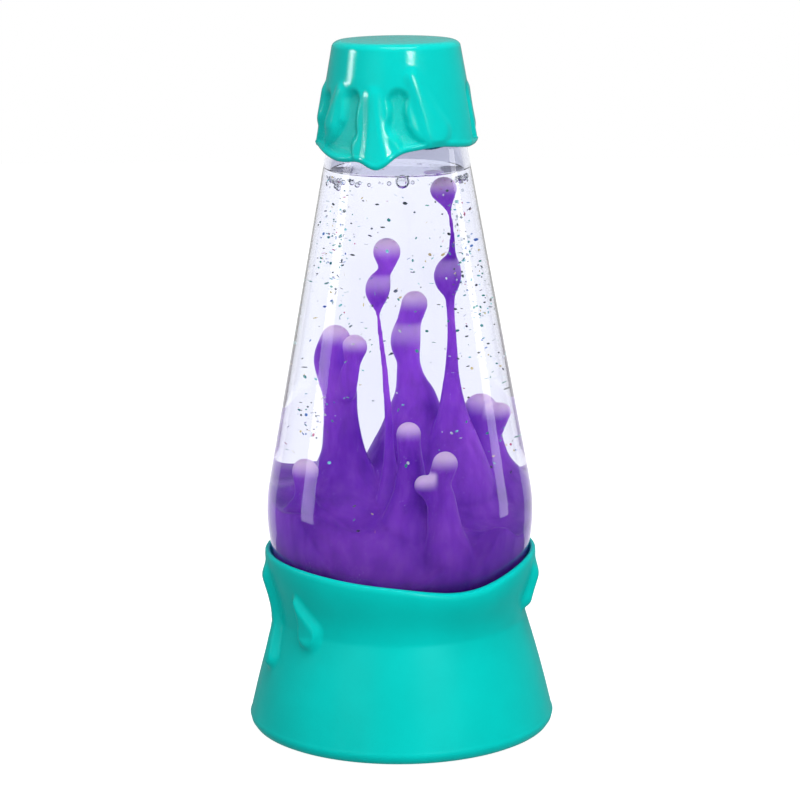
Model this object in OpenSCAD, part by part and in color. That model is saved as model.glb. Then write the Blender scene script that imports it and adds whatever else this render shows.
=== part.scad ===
// Battery lit lava lamp: a flared base with moulded drips holds a clear tapered
// bottle of water, glitter and wax, closed by a screw top under a dripping cap.
// Millimetres, +Z up. The origin is the centre of the foot ring's underside.
// +X is to the right of the lamp's front, which faces -Y.

/* [Base shell] */
// Outside diameter of the base at its foot
base_d = 107.6; // [100:0.2:125]
// Space between the bottle and the shell at the waist
waist_space = 6.9; // [5:0.1:9]
// Height of the waist above the bottle's foot
waist_h = 8; // [6:0.5:12]
// Wall of the rolled rim
rim_wall = 2; // [1.6:0.1:3]
// Height of the rim's highest point above the bottle's foot
rim_h = 32; // [28:0.5:34]
// How far the rim dips at the front
rim_dip = 6; // [0:0.5:9]
// Wall of the base shell
base_wall = 2.4; // [1.6:0.1:3.2]
// How far the moulded drips stand out of the base
base_relief = 2.4; // [0:0.1:3]

/* [Bottle] */
// Largest outside diameter of the bottle
belly_d = 93; // [84:0.5:98]
// Height of the largest diameter above the bottle's foot
belly_h = 45; // [40:0.5:52]
// Diameter of the bottle's flat foot
bottle_foot_d = 58; // [48:0.5:62]
// Outside diameter where the cone meets the shoulder
shoulder_d = 48; // [44:0.5:56]
// Wall of the bottle
bottle_wall = 2.5; // [1.6:0.1:3]
// Outside diameter of the threaded neck
neck_d = 28; // [23:0.5:34]
// Wall of the neck
neck_wall = 2.5; // [1.6:0.1:3]
// Straight height of the bottle from its foot to the shoulder
cone_h = 173; // [150:1:190]
// Height of the rounded shoulder
shoulder_h = 6; // [4:0.5:9]
// Height of the neck above the shoulder
neck_h = 21.6; // [20:0.2:26]

/* [Filling] */
// Depth of the air above the water, measured down from the shoulder
air_h = 9; // [4:0.5:30]
// Gap kept between the filling and the bottle wall
fluid_gap = 0.3; // [0.2:0.05:0.6]
// Height of the wax pool above the bottle's foot, at the middle
pool_h = 45; // [36:0.5:52]
// Thickness scale of the wax columns
wax_scale = 1; // [0.8:0.05:1.15]
// Width of one glitter flake
flake_w = 1.2; // [0.8:0.1:1.6]
// Thickness of one glitter flake
flake_t = 0.12; // [0.08:0.01:0.15]
// Number of flakes drawn
flake_count = 64; // [10:1:90]

/* [Cap] */
// Space between the cap's lower edge and the bottle
cap_clear = 0.9; // [0.6:0.1:3]
// Space between the gripping sleeve and the cap's wall, at the top
sleeve_clear = 0.9; // [0.6:0.1:3]
// Wall of the cap
cap_wall = 2; // [1.4:0.1:2.4]
// How far the moulded icing stands out of the cap
cap_relief = 1.2; // [0:0.1:1.6]
// Length of the longest drip below the cap's edge
cap_drip = 4.7; // [0:0.1:7]

/* [Closure] */
// Space between the thread ribs and the closure's skirt
thread_clear = 0.6; // [0.3:0.1:1]
// Wall of the closure's skirt
closure_wall = 1.5; // [1:0.1:1.8]
// Thickness of the sealing disc
liner_t = 1.4; // [1:0.1:2]
// Height of the thread ribs on the neck
thread_h = 1.1; // [0.6:0.1:1.2]
// Rise of the closure in one turn
thread_pitch = 4; // [3:0.5:5]

/* [Battery box] */
// Diameter of one cell
cell_d = 10.5; // [10.5:0.1:11]
// Length of one cell
cell_l = 44.5; // [44:0.1:45]
// Gap between neighbouring cells
cell_gap = 1.2; // [0.8:0.1:1.6]
// Thickness of the bottom cover
cover_t = 2.6; // [2.4:0.1:3.4]
// Width of the soft foot ring
foot_w = 4; // [3:0.5:5]
// Travel of the power switch
switch_travel = 4; // [3:0.5:5]

/* [Light] */
// Height from the deck that carries the lamp board to the bottle's foot
lamp_room = 14.6; // [13.4:0.2:18]
// Width of the seat round the clear window
seat_w = 5.2; // [4:0.2:7]
// Width of the ledge that carries the window
ledge_w = 2.4; // [2:0.2:4]
// Diameter of one lamp
led_d = 5; // [3:0.5:5]

/* [Hidden] */

$fn = 96;
eps = 0.01;

// clearances
fit = 0.3;          // between seated pieces
run = 0.05;         // between faces that move on each other
wire_r = 0.5;

lip_gap = 0.5;      // between the rim and the bottle

// battery box
foot_show = 0.8;    // the foot ring stands this far below the shell
foot_t = 1.8;
cover_top = foot_show + cover_t;
tray_in_l = cell_l + 4.7;
tray_in_w = 3 * cell_d + 4 * cell_gap;
tray_wall = 1.4;
tray_roof = 1.4;
cell_z = cover_top + 0.1 + cell_d / 2;
tray_top = cell_z + cell_d / 2 + 0.2;
door_l = tray_in_l - 1;
door_w = tray_in_w - 1;
door_t = 2;
door_z = foot_show + 0.1;
hinge_x = -door_l / 2 + door_t / 2;
hinge_z = door_z + door_t / 2;
switch_y = -(tray_in_w / 2 + 10);

// deck and bottle heights
deck_z = tray_top + tray_roof + 1.8;
deck_t = 2;
seat_t = 1.2;
bottle_z = deck_z + lamp_room;
seat_z = bottle_z - run - seat_t;
belly_z = bottle_z + belly_h;
punt_h = 2;
floor_t = 3;
blend_h = 11;
belly_r = belly_d / 2;
foot_r = bottle_foot_d / 2;
shoulder_r = shoulder_d / 2;
shoulder_z = bottle_z + cone_h;
neck_z = shoulder_z + shoulder_h;
neck_top = neck_z + neck_h;
bore_d = neck_d - 2 * neck_wall;
water_z = shoulder_z - air_h;
taper = (belly_r - shoulder_r) / (shoulder_z - belly_z - blend_h / 2);

// base shell, round the bottle
base_r = base_d / 2;
waist_z = bottle_z + waist_h;
waist_r = bottle_r(waist_z) + waist_space + base_wall;
rim_z = bottle_z + rim_h;
rim_r = bottle_r(rim_z) + lip_gap + rim_wall;
ring_r = shell_inner_r(3) - 2.4;
ring_in_r = ring_r - foot_w;

// lamp window and cradle
lens_r = foot_r - seat_w;
tube_r = lens_r - ledge_w;
post_w = 3.2;
post_r = min(ring_in_r - 3.9, shell_inner_r(deck_z) - post_w - fit);
post_angles = [60, 120, 240, 300];

// closure and cap heights
liner_z = neck_top + run;
closure_top = liner_z + liner_t + run + 1.9;
closure_z = closure_top - 21;
closure_in_r = neck_d / 2 + thread_h + thread_clear;
closure_r = closure_in_r + closure_wall;
socket_r = closure_r + fit + 1.4;
socket_top = closure_top + fit + 1.6;
cap_ceiling = socket_top + 0.1;
cap_top = cap_ceiling + cap_wall;
cap_edge = shoulder_z + 0.3;
cap_r = shoulder_r + cap_clear + cap_wall + cap_relief / 2;
cap_top_r = socket_r + sleeve_clear + cap_wall;

// ---------------------------------------------------------------- shape functions

function clamp(v, low, high) = min(max(v, low), high);
function ease(t) = (1 - cos(180 * clamp(t, 0, 1))) / 2;
function turn_from(a, centre) = (a - centre + 900) % 360 - 180;
function bump(a, centre, width) = exp(-pow(turn_from(a, centre) / width, 2));
function mix(a, b, t) = a + (b - a) * t;

// How far a drip stands out at angle a and height z, from 0 to 1. A drip is
// [start angle, start height, end angle, end height, half width, bulb half width].
function drip_along(a, z, d, r) =
    let(run_x = turn_from(d[2], d[0]) * r * PI / 180)
    let(run_z = d[3] - d[1])
    let(px = turn_from(a, d[0]) * r * PI / 180)
    let(pz = z - d[1])
    clamp((px * run_x + pz * run_z) / (run_x * run_x + run_z * run_z), 0, 1);
function drip_gap(a, z, d, r) =
    let(t = drip_along(a, z, d, r))
    let(dx = turn_from(a, d[0]) * r * PI / 180 - t * turn_from(d[2], d[0]) * r * PI / 180)
    let(dz = z - d[1] - t * (d[3] - d[1]))
    sqrt(dx * dx + dz * dz);
function drip_width(t, d) = mix(d[4], d[5], t) - 0.25 * d[4] * sin(180 * t);
function drip_level(a, z, d, r, soft) =
    ease((drip_width(drip_along(a, z, d, r), d) - drip_gap(a, z, d, r)) / soft + 0.5);

// Outside radius of the bottle at height z.
function bottle_r(z) =
    z < belly_z
    ? belly_r - (belly_r - foot_r) * pow((belly_z - z) / (belly_z - bottle_z), 2)
    : z < belly_z + blend_h
    ? belly_r - taper * pow(z - belly_z, 2) / (2 * blend_h)
    : shoulder_r + taper * (shoulder_z - z);
function bottle_slope(z) = (bottle_r(z + 0.05) - bottle_r(z - 0.05)) / 0.1;
// Radius of a surface that lies depth d inside the bottle's outside face.
function inside_r(z, d) = bottle_r(z) - d * sqrt(1 + pow(bottle_slope(z), 2));

// Heights at which the bottle's curve is drawn.
belly_levels = [for (i = [1 : 9]) mix(bottle_z, belly_z, i / 9)];
blend_levels = [for (i = [1 : 4]) belly_z + blend_h * i / 4];

// ---------------------------------------------------------------- base shell

// Heights of these drips are measured from the rim's highest point.
base_drips = [
    [188, -4, 201, -36.5, 3.6, 3.2],
    [215, -4, 225.5, -25, 3.2, 4.4],
    [350, -2, 345, -17, 3.4, 2.6],
    [32, -4, 38, -21, 3.4, 3.6],
    [80, -4, 84, -31, 3.2, 3.2],
    [122, -4, 130, -20, 3.6, 4]
];

function rim_level(a) =
    rim_z - rim_dip * bump(a, 299, 30) - 1.5 * bump(a, 255, 25) - 2.5 * bump(a, 95, 40);
function flare_r(z) =
    let(t = clamp((z - 3) / (waist_z - 3), 0, 1))
    mix(base_r, waist_r, t) + 0.4 * sin(180 * t);
function base_drip(a, z) =
    base_relief * max([for (d = base_drips) drip_level(a, z - rim_z, d, waist_r + 3, 3)]);
function shell_inner_r(z) = flare_r(z) - base_wall;
function rim_lip_r(z) = bottle_r(z) + lip_gap;

// One upright section of the shell: up the outside, over the rim, down the inside.
function base_section(a) =
    let(top = rim_level(a))
    concat(
        [
            [base_r - 1.4, foot_show],
            [base_r - 0.35, foot_show + 0.8],
            [base_r, foot_show + 2.2]
        ],
        [
            for (i = [1 : 9])
                let(z = mix(foot_show + 2.2, waist_z, i / 9))
                [flare_r(z) + base_drip(a, z), z]
        ],
        [
            for (i = [1 : 4])
                let(z = mix(waist_z, top - 2, i / 4))
                let(fade = 1 - ease((z - top + 9) / 7))
                [mix(waist_r, rim_r, ease(i / 4)) + fade * base_drip(a, z), z]
        ],
        [
            [rim_r - 0.3, top - 0.8],
            [rim_r - 1, top - 0.1],
            [rim_lip_r(top) + 0.5, top],
            [rim_lip_r(top), top - 0.6],
            [rim_lip_r(top - 5), top - 5],
            [shell_inner_r(waist_z), waist_z],
            [shell_inner_r(deck_z + deck_t + 4), deck_z + deck_t + 4],
            [shell_inner_r(deck_z), deck_z],
            [shell_inner_r(cover_top), cover_top],
            [shell_inner_r(3), foot_show]
        ]
    );

// A closed ring of wall made by walking a section round the axis.
module walked_ring(sections) {
    count = len(sections);
    rows = len(sections[0]);
    points = [
        for (i = [0 : count - 1], p = sections[i])
            [p[0] * cos(i * 360 / count), p[0] * sin(i * 360 / count), p[1]]
    ];
    function at(i, j) = (i % count) * rows + j % rows;
    faces = [
        for (i = [0 : count - 1], j = [0 : rows - 1])
            each [
                [at(i, j), at(i, j + 1), at(i + 1, j + 1)],
                [at(i, j), at(i + 1, j + 1), at(i + 1, j)]
            ]
    ];
    polyhedron(points, faces, convexity = 6);
}

// A closed cup made the same way, its first and last points lying on the axis.
module walked_cup(sections) {
    count = len(sections);
    rows = len(sections[0]);
    ring = [
        for (i = [0 : count - 1], p = sections[i])
            [p[0] * cos(i * 360 / count), p[0] * sin(i * 360 / count), p[1]]
    ];
    ends = [[0, 0, sections[0][0][1]], [0, 0, sections[0][rows - 1][1]]];
    function at(i, j) = (i % count) * rows + j;
    low = count * rows;
    faces = concat(
        [
            for (i = [0 : count - 1], j = [0 : rows - 2])
                each [
                    [at(i, j), at(i, j + 1), at(i + 1, j + 1)],
                    [at(i, j), at(i + 1, j + 1), at(i + 1, j)]
                ]
        ],
        [for (i = [0 : count - 1]) [low, at(i, 0), at(i + 1, 0)]],
        [for (i = [0 : count - 1]) [low + 1, at(i + 1, rows - 1), at(i, rows - 1)]]
    );
    polyhedron(concat(ring, ends), faces, convexity = 6);
}

module base_shell() {
    color("turquoise")
        walked_ring([for (a = [0 : 3 : 357]) base_section(a)]);
}

// ---------------------------------------------------------------- inside the base

module foot_ring() {
    color("dimgray")
        difference() {
            cylinder(r = ring_r, h = foot_t);
            translate([0, 0, -1]) cylinder(r = ring_in_r, h = foot_t + 2);
        }
}

module bottom_cover() {
    r = shell_inner_r(cover_top) - fit;
    color("darkcyan")
        difference() {
            translate([0, 0, foot_show]) cylinder(r = r, h = cover_t);
            // groove for the foot ring
            difference() {
                cylinder(r = ring_r + 0.1, h = foot_t + 0.1);
                translate([0, 0, -1]) cylinder(r = ring_in_r - 0.1, h = foot_t + 3);
            }
            // opening for the battery door
            translate([-door_l / 2 - fit, -door_w / 2 - fit, 0])
                cube([door_l + 2 * fit, door_w + 2 * fit, cover_top + 1]);
            // sockets of the door's hinge pins
            translate([hinge_x, door_w / 2 + 3, hinge_z])
                rotate([90, 0, 0]) cylinder(r = 0.6 + run, h = door_w + 6, $fn = 32);
            // counterbored holes of the cover screws
            for (a = post_angles) rotate(a) translate([post_r, 0, 0]) {
                cylinder(r = 1.5, h = cover_top + 1, $fn = 32);
                cylinder(r = 2.9, h = foot_show + 1.5, $fn = 32);
            }
            // slot of the power switch
            translate([-(3 + switch_travel) / 2 - fit, switch_y - 1.5 - fit, 0])
                cube([3 + switch_travel + 2 * fit, 3 + 2 * fit, cover_top + 1]);
        }
}

module cover_screws() {
    color("silver")
        for (a = post_angles) rotate(a) translate([post_r, 0, 0]) {
            difference() {
                translate([0, 0, foot_show + 0.2]) cylinder(r = 2.6, h = 1.3, $fn = 32);
                translate([-2, -0.35, 0]) cube([4, 0.7, foot_show + 0.8]);
                translate([-0.35, -2, 0]) cube([0.7, 4, foot_show + 0.8]);
            }
            translate([0, 0, foot_show + 1.4]) cylinder(r = 1.25, h = 11, $fn = 32);
        }
}

module battery_tray() {
    outer_l = tray_in_l + 2 * tray_wall;
    outer_w = tray_in_w + 2 * tray_wall;
    color("gray")
        difference() {
            translate([-outer_l / 2, -outer_w / 2, cover_top + run])
                cube([outer_l, outer_w, tray_top + tray_roof - cover_top - run]);
            translate([-tray_in_l / 2, -tray_in_w / 2, cover_top - 1])
                cube([tray_in_l, tray_in_w, tray_top - cover_top + 1]);
            // outlet of the black wire in the left end wall
            translate([-outer_l / 2 - 1, -1.2, cell_z - 1.2])
                cube([tray_wall + 2, 2.4, 2.4]);
        }
}

module at_cells() {
    for (i = [-1 : 1]) translate([0, i * (cell_d + cell_gap), cell_z])
        rotate(i == 0 ? 180 : 0) children();
}

module batteries() {
    color("goldenrod")
        at_cells() translate([1.3, 0, 0]) rotate([0, 90, 0]) {
            translate([0, 0, -cell_l / 2]) cylinder(d = cell_d, h = cell_l - 1, $fn = 48);
            translate([0, 0, cell_l / 2 - 1.5]) cylinder(r = 1.9, h = 1.5, $fn = 32);
        }
}

module battery_springs() {
    color("silver")
        at_cells() for (i = [0 : 2])
            translate([-tray_in_l / 2 + 0.95 + 1.05 * i, 0, 0]) rotate([0, 90, 0])
                rotate_extrude() translate([3.6 - 0.7 * i, 0]) circle(r = 0.4, $fn = 16);
}

module battery_contacts() {
    color("silver")
        for (side = [-1, 1], i = [-1 : 1])
            translate([
                side * (tray_in_l / 2 - 0.25) - 0.2,
                i * (cell_d + cell_gap) - 4.4,
                cell_z - 4.4
            ])
                cube([0.4, 8.8, 8.8]);
}

module battery_door() {
    color("darkcyan")
        difference() {
            union() {
                translate([hinge_x, -door_w / 2, door_z])
                    cube([door_l / 2 - hinge_x, door_w, door_t]);
                translate([hinge_x, door_w / 2, hinge_z])
                    rotate([90, 0, 0]) cylinder(d = door_t, h = door_w, $fn = 48);
                translate([hinge_x, door_w / 2 + 1.5, hinge_z])
                    rotate([90, 0, 0]) cylinder(r = 0.6, h = door_w + 3, $fn = 32);
            }
            // thumb notch at the free end
            translate([door_l / 2 - 4, 0, door_z - 1]) cylinder(r = 5, h = 1.8, $fn = 48);
        }
}

module switch_body() {
    color("black")
        difference() {
            translate([-6.5, switch_y - 3.2, cover_top + run]) cube([13, 6.4, 6]);
            translate([-(3 + switch_travel) / 2 - fit, switch_y - 1.5 - fit, cover_top - 1])
                cube([3 + switch_travel + 2 * fit, 3 + 2 * fit, 3]);
        }
}

module switch_knob() {
    color("white")
        translate([-(3 + switch_travel) / 2, switch_y - 1.5, foot_show + 0.1])
            cube([3, 3, cover_t + 1.6]);
}

module bottle_cradle() {
    deck_r = shell_inner_r(deck_z + deck_t) - fit;
    low = bottle_z + 2.5;
    high = bottle_z + 12;
    color("whitesmoke") {
        rotate_extrude()
            polygon([
                [5, deck_z],
                [deck_r, deck_z],
                [deck_r, deck_z + deck_t],
                [foot_r + 4, deck_z + deck_t],
                [foot_r + 4, bottle_z - 1],
                [bottle_r(high) + 2.4, high],
                [bottle_r(high) + 0.6, high],
                [bottle_r(low + 4) + 0.6, low + 4],
                [bottle_r(low) + 0.7, low],
                [foot_r + 1, bottle_z - 1],
                [foot_r + 1, seat_z],
                [lens_r + 0.2, seat_z],
                [lens_r + 0.2, seat_z - 2],
                [tube_r, seat_z - 2],
                [tube_r, deck_z + deck_t],
                [5, deck_z + deck_t]
            ]);
        // posts that take the cover screws
        for (a = post_angles) rotate(a) translate([post_r, 0, 0])
            difference() {
                translate([0, 0, cover_top + run])
                    cylinder(r = post_w, h = deck_z - cover_top + 0.5, $fn = 32);
                translate([0, 0, cover_top - 1]) cylinder(r = 1.3, h = 11.5, $fn = 32);
            }
    }
}

module seat_pad() {
    color("dimgray")
        translate([0, 0, seat_z])
            difference() {
                cylinder(r = foot_r - 0.5, h = seat_t);
                translate([0, 0, -1]) cylinder(r = lens_r + 0.8, h = seat_t + 2);
            }
}

module light_lens() {
    color("white", 0.6)
        translate([0, 0, seat_z - 1.9]) cylinder(r = lens_r, h = 1.8);
}

module reflector() {
    low = deck_z + deck_t + 1.6 + 0.3;
    high = seat_z - 2.2;
    color("silver")
        rotate_extrude()
            polygon([
                [11, low],
                [12.2, low],
                [tube_r - 0.3, high],
                [tube_r - 1.5, high]
            ]);
}

module led_board() {
    color("green")
        translate([0, 0, deck_z + deck_t]) cylinder(r = tube_r - 0.4, h = 1.6);
}

module leds() {
    color("white")
        for (a = [90, 210, 330]) rotate(a) translate([6, 0, deck_z + deck_t + 1.6]) {
            cylinder(d = led_d + 0.8, h = 0.8, $fn = 32);
            translate([0, 0, 0.7]) cylinder(d = led_d, h = 3, $fn = 32);
            translate([0, 0, 3.7]) sphere(d = led_d - 0.1, $fn = 32);
        }
}

// An insulated wire laid along straight runs, each one reaching past its corners.
module wire_run(path) {
    for (i = [0 : len(path) - 2]) {
        run_v = path[i + 1] - path[i];
        translate(path[i])
            rotate([0, acos(run_v[2] / norm(run_v)), atan2(run_v[1], run_v[0])])
                translate([0, 0, -wire_r])
                    cylinder(r = wire_r, h = norm(run_v) + 2 * wire_r, $fn = 8);
    }
}

module wire_red() {
    over = deck_z - 0.8;
    color("red")
        wire_run([
            [2, 0, deck_z + deck_t - 0.6],
            [2, 0, over],
            [2, switch_y, over],
            [2, switch_y, cover_top + 6.6]
        ]);
}

module wire_black() {
    over = deck_z - 0.8;
    end_x = -(tray_in_l / 2 + tray_wall + 1.2);
    color("black")
        wire_run([
            [-2, 0, deck_z + deck_t - 0.6],
            [-2, 0, over],
            [end_x, 0, over],
            [end_x, 0, cell_z],
            [-tray_in_l / 2 - wire_r, 0, cell_z]
        ]);
}

// ---------------------------------------------------------------- bottle

module bottle() {
    punt_r = foot_r - 4;
    floor_z = bottle_z + floor_t + punt_h;
    inner_levels = concat([for (z = belly_levels) if (z > floor_z + 1) z], blend_levels);
    outside = concat(
        [
            [0, bottle_z + punt_h],
            [punt_r - 3, bottle_z + punt_h],
            [punt_r, bottle_z],
            [foot_r - 1, bottle_z],
            [foot_r + 0.6, bottle_z + 0.7]
        ],
        [for (z = belly_levels) [bottle_r(z), z]],
        [for (z = blend_levels) [bottle_r(z), z]],
        [
            for (t = [0 : 18 : 90])
                [
                    neck_d / 2 + (shoulder_r - neck_d / 2) * cos(t),
                    shoulder_z + shoulder_h * sin(t)
                ]
        ],
        [[neck_d / 2, neck_top - 0.6], [neck_d / 2 - 0.6, neck_top]]
    );
    neck_bore = [
        for (t = [90 : -18 : 0])
            [
                bore_d / 2 + (inside_r(shoulder_z, bottle_wall) - bore_d / 2) * cos(t),
                shoulder_z + (shoulder_h - bottle_wall) * sin(t)
            ]
    ];
    inside = concat(
        [[bore_d / 2, neck_top]],
        neck_bore,
        [
            for (i = [len(inner_levels) - 1 : -1 : 0])
                [inside_r(inner_levels[i], bottle_wall), inner_levels[i]]
        ],
        [[inside_r(floor_z, bottle_wall), floor_z], [0, floor_z]]
    );
    color("lavender", 0.4) {
        rotate_extrude() polygon(concat(outside, inside));
        // thread ribs and the bead below them
        for (z = [neck_z + 7, neck_z + 7 + thread_pitch])
            rotate_extrude()
                polygon([
                    [neck_d / 2 - 0.5, z - 1],
                    [neck_d / 2, z - 1],
                    [neck_d / 2 + thread_h, z - 0.3],
                    [neck_d / 2 + thread_h, z + 0.3],
                    [neck_d / 2, z + 1],
                    [neck_d / 2 - 0.5, z + 1]
                ]);
    }
}

// ---------------------------------------------------------------- filling

// Each wax column is a list of balls, [x, y, height, radius], joined in order.
// Heights are measured from the bottle's foot.
column_left = [
    [-15.5, 2, 44, 9], [-15.5, 2, 56, 6.2], [-15.2, 2, 69, 4.9], [-15.4, 2, 83, 4.6],
    [-16.2, 2, 92, 4.4], [-17, 2, 100, 5], [-16, 2, 108, 4.2]
];
column_left_fork = [[-14.5, -3, 90, 3.6], [-12, -7, 99, 2.9], [-11.8, -8, 104.6, 3.5]];
column_string = [
    [-2.8, -9, 50, 6], [-2.7, -10, 60, 2.4], [-2.9, -10, 78, 1.6], [-4.4, -10, 98, 1.1],
    [-6, -10, 119, 1], [-6, -10, 125.5, 3.7], [-4.6, -10, 132.4, 2], [-3.6, -10, 139, 4.3]
];
column_middle = [
    [2, 13, 46, 16], [3, 13, 60, 11], [3, 13, 72, 7.4], [2.2, 13, 84, 4.2],
    [1.9, 13, 96, 3.6], [1.2, 13, 104.5, 4.8], [2.6, 13, 110, 3.9], [3.5, 13, 116, 4.1]
];
column_tall = [
    [12.5, 5, 48, 12], [12.5, 5, 64, 7], [12.7, 5, 75, 4.6], [12.8, 5, 88, 2.9],
    [12.9, 5, 102, 1.8], [12.8, 5, 115, 1.4], [12.1, 5, 127.6, 3.9], [12.9, 5, 136, 1.2],
    [13.1, 5, 147, 0.8], [11.6, 5, 158, 3.8]
];
column_lobe = [
    [24, 16, 42, 10], [22.5, 16, 58, 7], [20, 16, 72, 5], [18.6, 16, 81, 4.6]
];
column_lobe_fork = [[21.5, 16, 66, 5.4], [23.2, 15, 77.5, 3.8]];
column_front = [
    [3.3, -18, 42, 10], [3.2, -20, 52, 5.6], [3.1, -20, 66, 4], [3, -20, 76, 4]
];
column_fork = [[14, -28, 32, 9], [14, -29, 44, 5.4], [13, -30, 57, 3.6], [15.4, -30, 68, 3.3]];
column_fork_low = [[12.4, -30, 54, 3.4], [7.8, -32, 61, 3.2]];
column_short = [
    [-27, -15, 36, 10], [-27, -16, 46, 5], [-26.8, -16, 54, 3], [-26.4, -16, 62.5, 4]
];

// Where the pool swells up to meet a column: [x, y, rise, width].
pool_swells = [
    [-15, 2, 13, 13], [2, 13, 13, 15], [13, 5, 10, 12], [22, 16, 9, 12],
    [3, -18, 5, 9], [14, -29, 2, 9], [-27, -15, 1, 8]
];
function pool_level(x, y) =
    bottle_z + pool_h - 3 * x / 45 + 8 * y / 45
    + max([
        for (s = pool_swells)
            s[2] * exp(-(pow(x - s[0], 2) + pow(y - s[1], 2)) / (s[3] * s[3]))
    ]);

module cavity(top, gap) {
    floor_z = bottle_z + floor_t + punt_h + gap;
    levels = [
        for (z = concat(belly_levels, blend_levels, [water_z]))
            if (z > floor_z + 1 && z <= top) z
    ];
    rotate_extrude($fn = 60)
        polygon(concat(
            [[0, floor_z], [inside_r(floor_z, bottle_wall + gap), floor_z]],
            [for (z = levels) [inside_r(z, bottle_wall + gap), z]],
            [[0, levels[len(levels) - 1]]]
        ));
}

module column(balls) {
    for (i = [0 : len(balls) - 2])
        hull() {
            translate([balls[i][0], balls[i][1], bottle_z + balls[i][2]])
                sphere(r = balls[i][3] * wax_scale, $fn = 14);
            translate([balls[i + 1][0], balls[i + 1][1], bottle_z + balls[i + 1][2]])
                sphere(r = balls[i + 1][3] * wax_scale, $fn = 14);
        }
}

module pool() {
    rings = 9;
    steps = 36;
    width = 50;
    top = [
        for (i = [1 : rings], j = [0 : steps - 1])
            let(x = width * i / rings * cos(j * 360 / steps))
            let(y = width * i / rings * sin(j * 360 / steps))
            [x, y, pool_level(x, y)]
    ];
    foot = [
        for (j = [0 : steps - 1])
            [width * cos(j * 360 / steps), width * sin(j * 360 / steps), bottle_z]
    ];
    middle = [[0, 0, pool_level(0, 0)], [0, 0, bottle_z]];
    function at(i, j) = (i - 1) * steps + j % steps;
    faces = concat(
        [for (j = [0 : steps - 1]) [(rings + 1) * steps, at(1, j + 1), at(1, j)]],
        [
            for (i = [1 : rings], j = [0 : steps - 1])
                each [
                    [at(i, j), at(i, j + 1), at(i + 1, j + 1)],
                    [at(i, j), at(i + 1, j + 1), at(i + 1, j)]
                ]
        ],
        [
            for (j = [0 : steps - 1])
                [(rings + 1) * steps + 1, at(rings + 1, j), at(rings + 1, j + 1)]
        ]
    );
    polyhedron(concat(top, foot, middle), faces, convexity = 6);
}

module wax() {
    intersection() {
        cavity(water_z, fluid_gap);
        union() {
            pool();
            column(column_left);
            column(column_left_fork);
            column(column_string);
            column(column_middle);
            column(column_tall);
            column(column_lobe);
            column(column_lobe_fork);
            column(column_front);
            column(column_fork);
            column(column_fork_low);
            column(column_short);
        }
    }
}

module lava() {
    color("mediumpurple") wax();
}

module liquid() {
    color("aliceblue", 0.3)
        difference() {
            cavity(water_z, fluid_gap + run);
            wax();
        }
}

// Flakes lie against the bottle's wall, spread by a steady turn and a steady rise.
module glitter() {
    low = belly_z + blend_h + 8;
    high = water_z - 4;
    color("darkslategray")
        for (i = [0 : flake_count - 1]) {
            z = mix(low, high, (i * 0.618 + 0.1) % 1);
            r = inside_r(z, bottle_wall + fluid_gap / 2);
            rotate(i * 137.5) translate([r, 0, z])
                rotate([0, 90 - atan(taper), 0]) rotate(i * 47)
                    cylinder(d = flake_w, h = flake_t, center = true, $fn = 6);
        }
}

// ---------------------------------------------------------------- closure and cap

module cap_liner() {
    color("ivory")
        translate([0, 0, liner_z])
            cylinder(r = closure_in_r - 0.3, h = liner_t);
}

module screw_cap() {
    color("white")
        difference() {
            translate([0, 0, closure_z]) cylinder(r = closure_r, h = closure_top - closure_z);
            translate([0, 0, closure_z - 1])
                cylinder(
                    r = closure_in_r,
                    h = liner_z + liner_t + run - closure_z + 1
                );
            for (a = [0 : 15 : 345]) rotate(a) translate([closure_r + 0.25, 0, closure_z - 1])
                cylinder(r = 0.7, h = closure_top - closure_z - 1, $fn = 16);
        }
}

module cap_socket() {
    low = closure_top - 13;
    web_top = socket_top - 4;
    color("lightgray")
        difference() {
            union() {
                translate([0, 0, low]) cylinder(r = socket_r, h = socket_top - low);
                for (a = [0 : 60 : 300]) rotate(a) translate([0, -0.7, low + 2])
                    cube([cap_inner_r(web_top) - fit, 1.4, web_top - low - 2]);
            }
            translate([0, 0, low - 1])
                cylinder(r = closure_r + fit, h = closure_top + fit - low + 1);
        }
}

// Heights of these drips are measured from the cap's lower edge.
cap_drips = [
    [223, 30.7, 214.5, 14.3, 2.9, 3.1],
    [247, 26.7, 257, -6.3, 4.8, 4.6],
    [283, 30.7, 294.5, 10.3, 4, 4],
    [330, 30.7, 332, -5.3, 7.5, 7.5],
    [18, 30.7, 20, 8.7, 4, 4],
    [60, 26.7, 63, -4.3, 4.8, 4.6],
    [104, 30.7, 107, 14.7, 3.2, 3.4],
    [148, 26.7, 151, -3.3, 4.8, 4.8],
    [186, 30.7, 184, 16.7, 3.2, 3.4]
];

function cap_cone_r(z) = mix(cap_r, cap_top_r, (z - cap_edge) / (cap_top - 3 - cap_edge));
function cap_inner_r(z) = cap_cone_r(z) - cap_wall;
function cap_edge_z(a) =
    cap_edge - 3.7 * bump(a, 226, 26) - cap_drip * bump(a, 257, 11.5)
    + 1.3 * bump(a, 303, 20) - 3.5 * bump(a, 63, 13) - 3 * bump(a, 151, 16);
function cap_icing(a, z) =
    max(
        ease((z - cap_edge - 21 - 1.5 * sin(a * 9)) / 4),
        max([for (d = cap_drips) drip_level(a, z - cap_edge, d, cap_r - 2.5, 2.6)])
    );
function cap_lip(a, z) = 0.6 * ease((cap_edge_z(a) + 4 - z) / 3.5);
function cap_outer(a, z) =
    cap_cone_r(z) - cap_relief / 2 + max(cap_relief * cap_icing(a, z), cap_lip(a, z));

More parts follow.
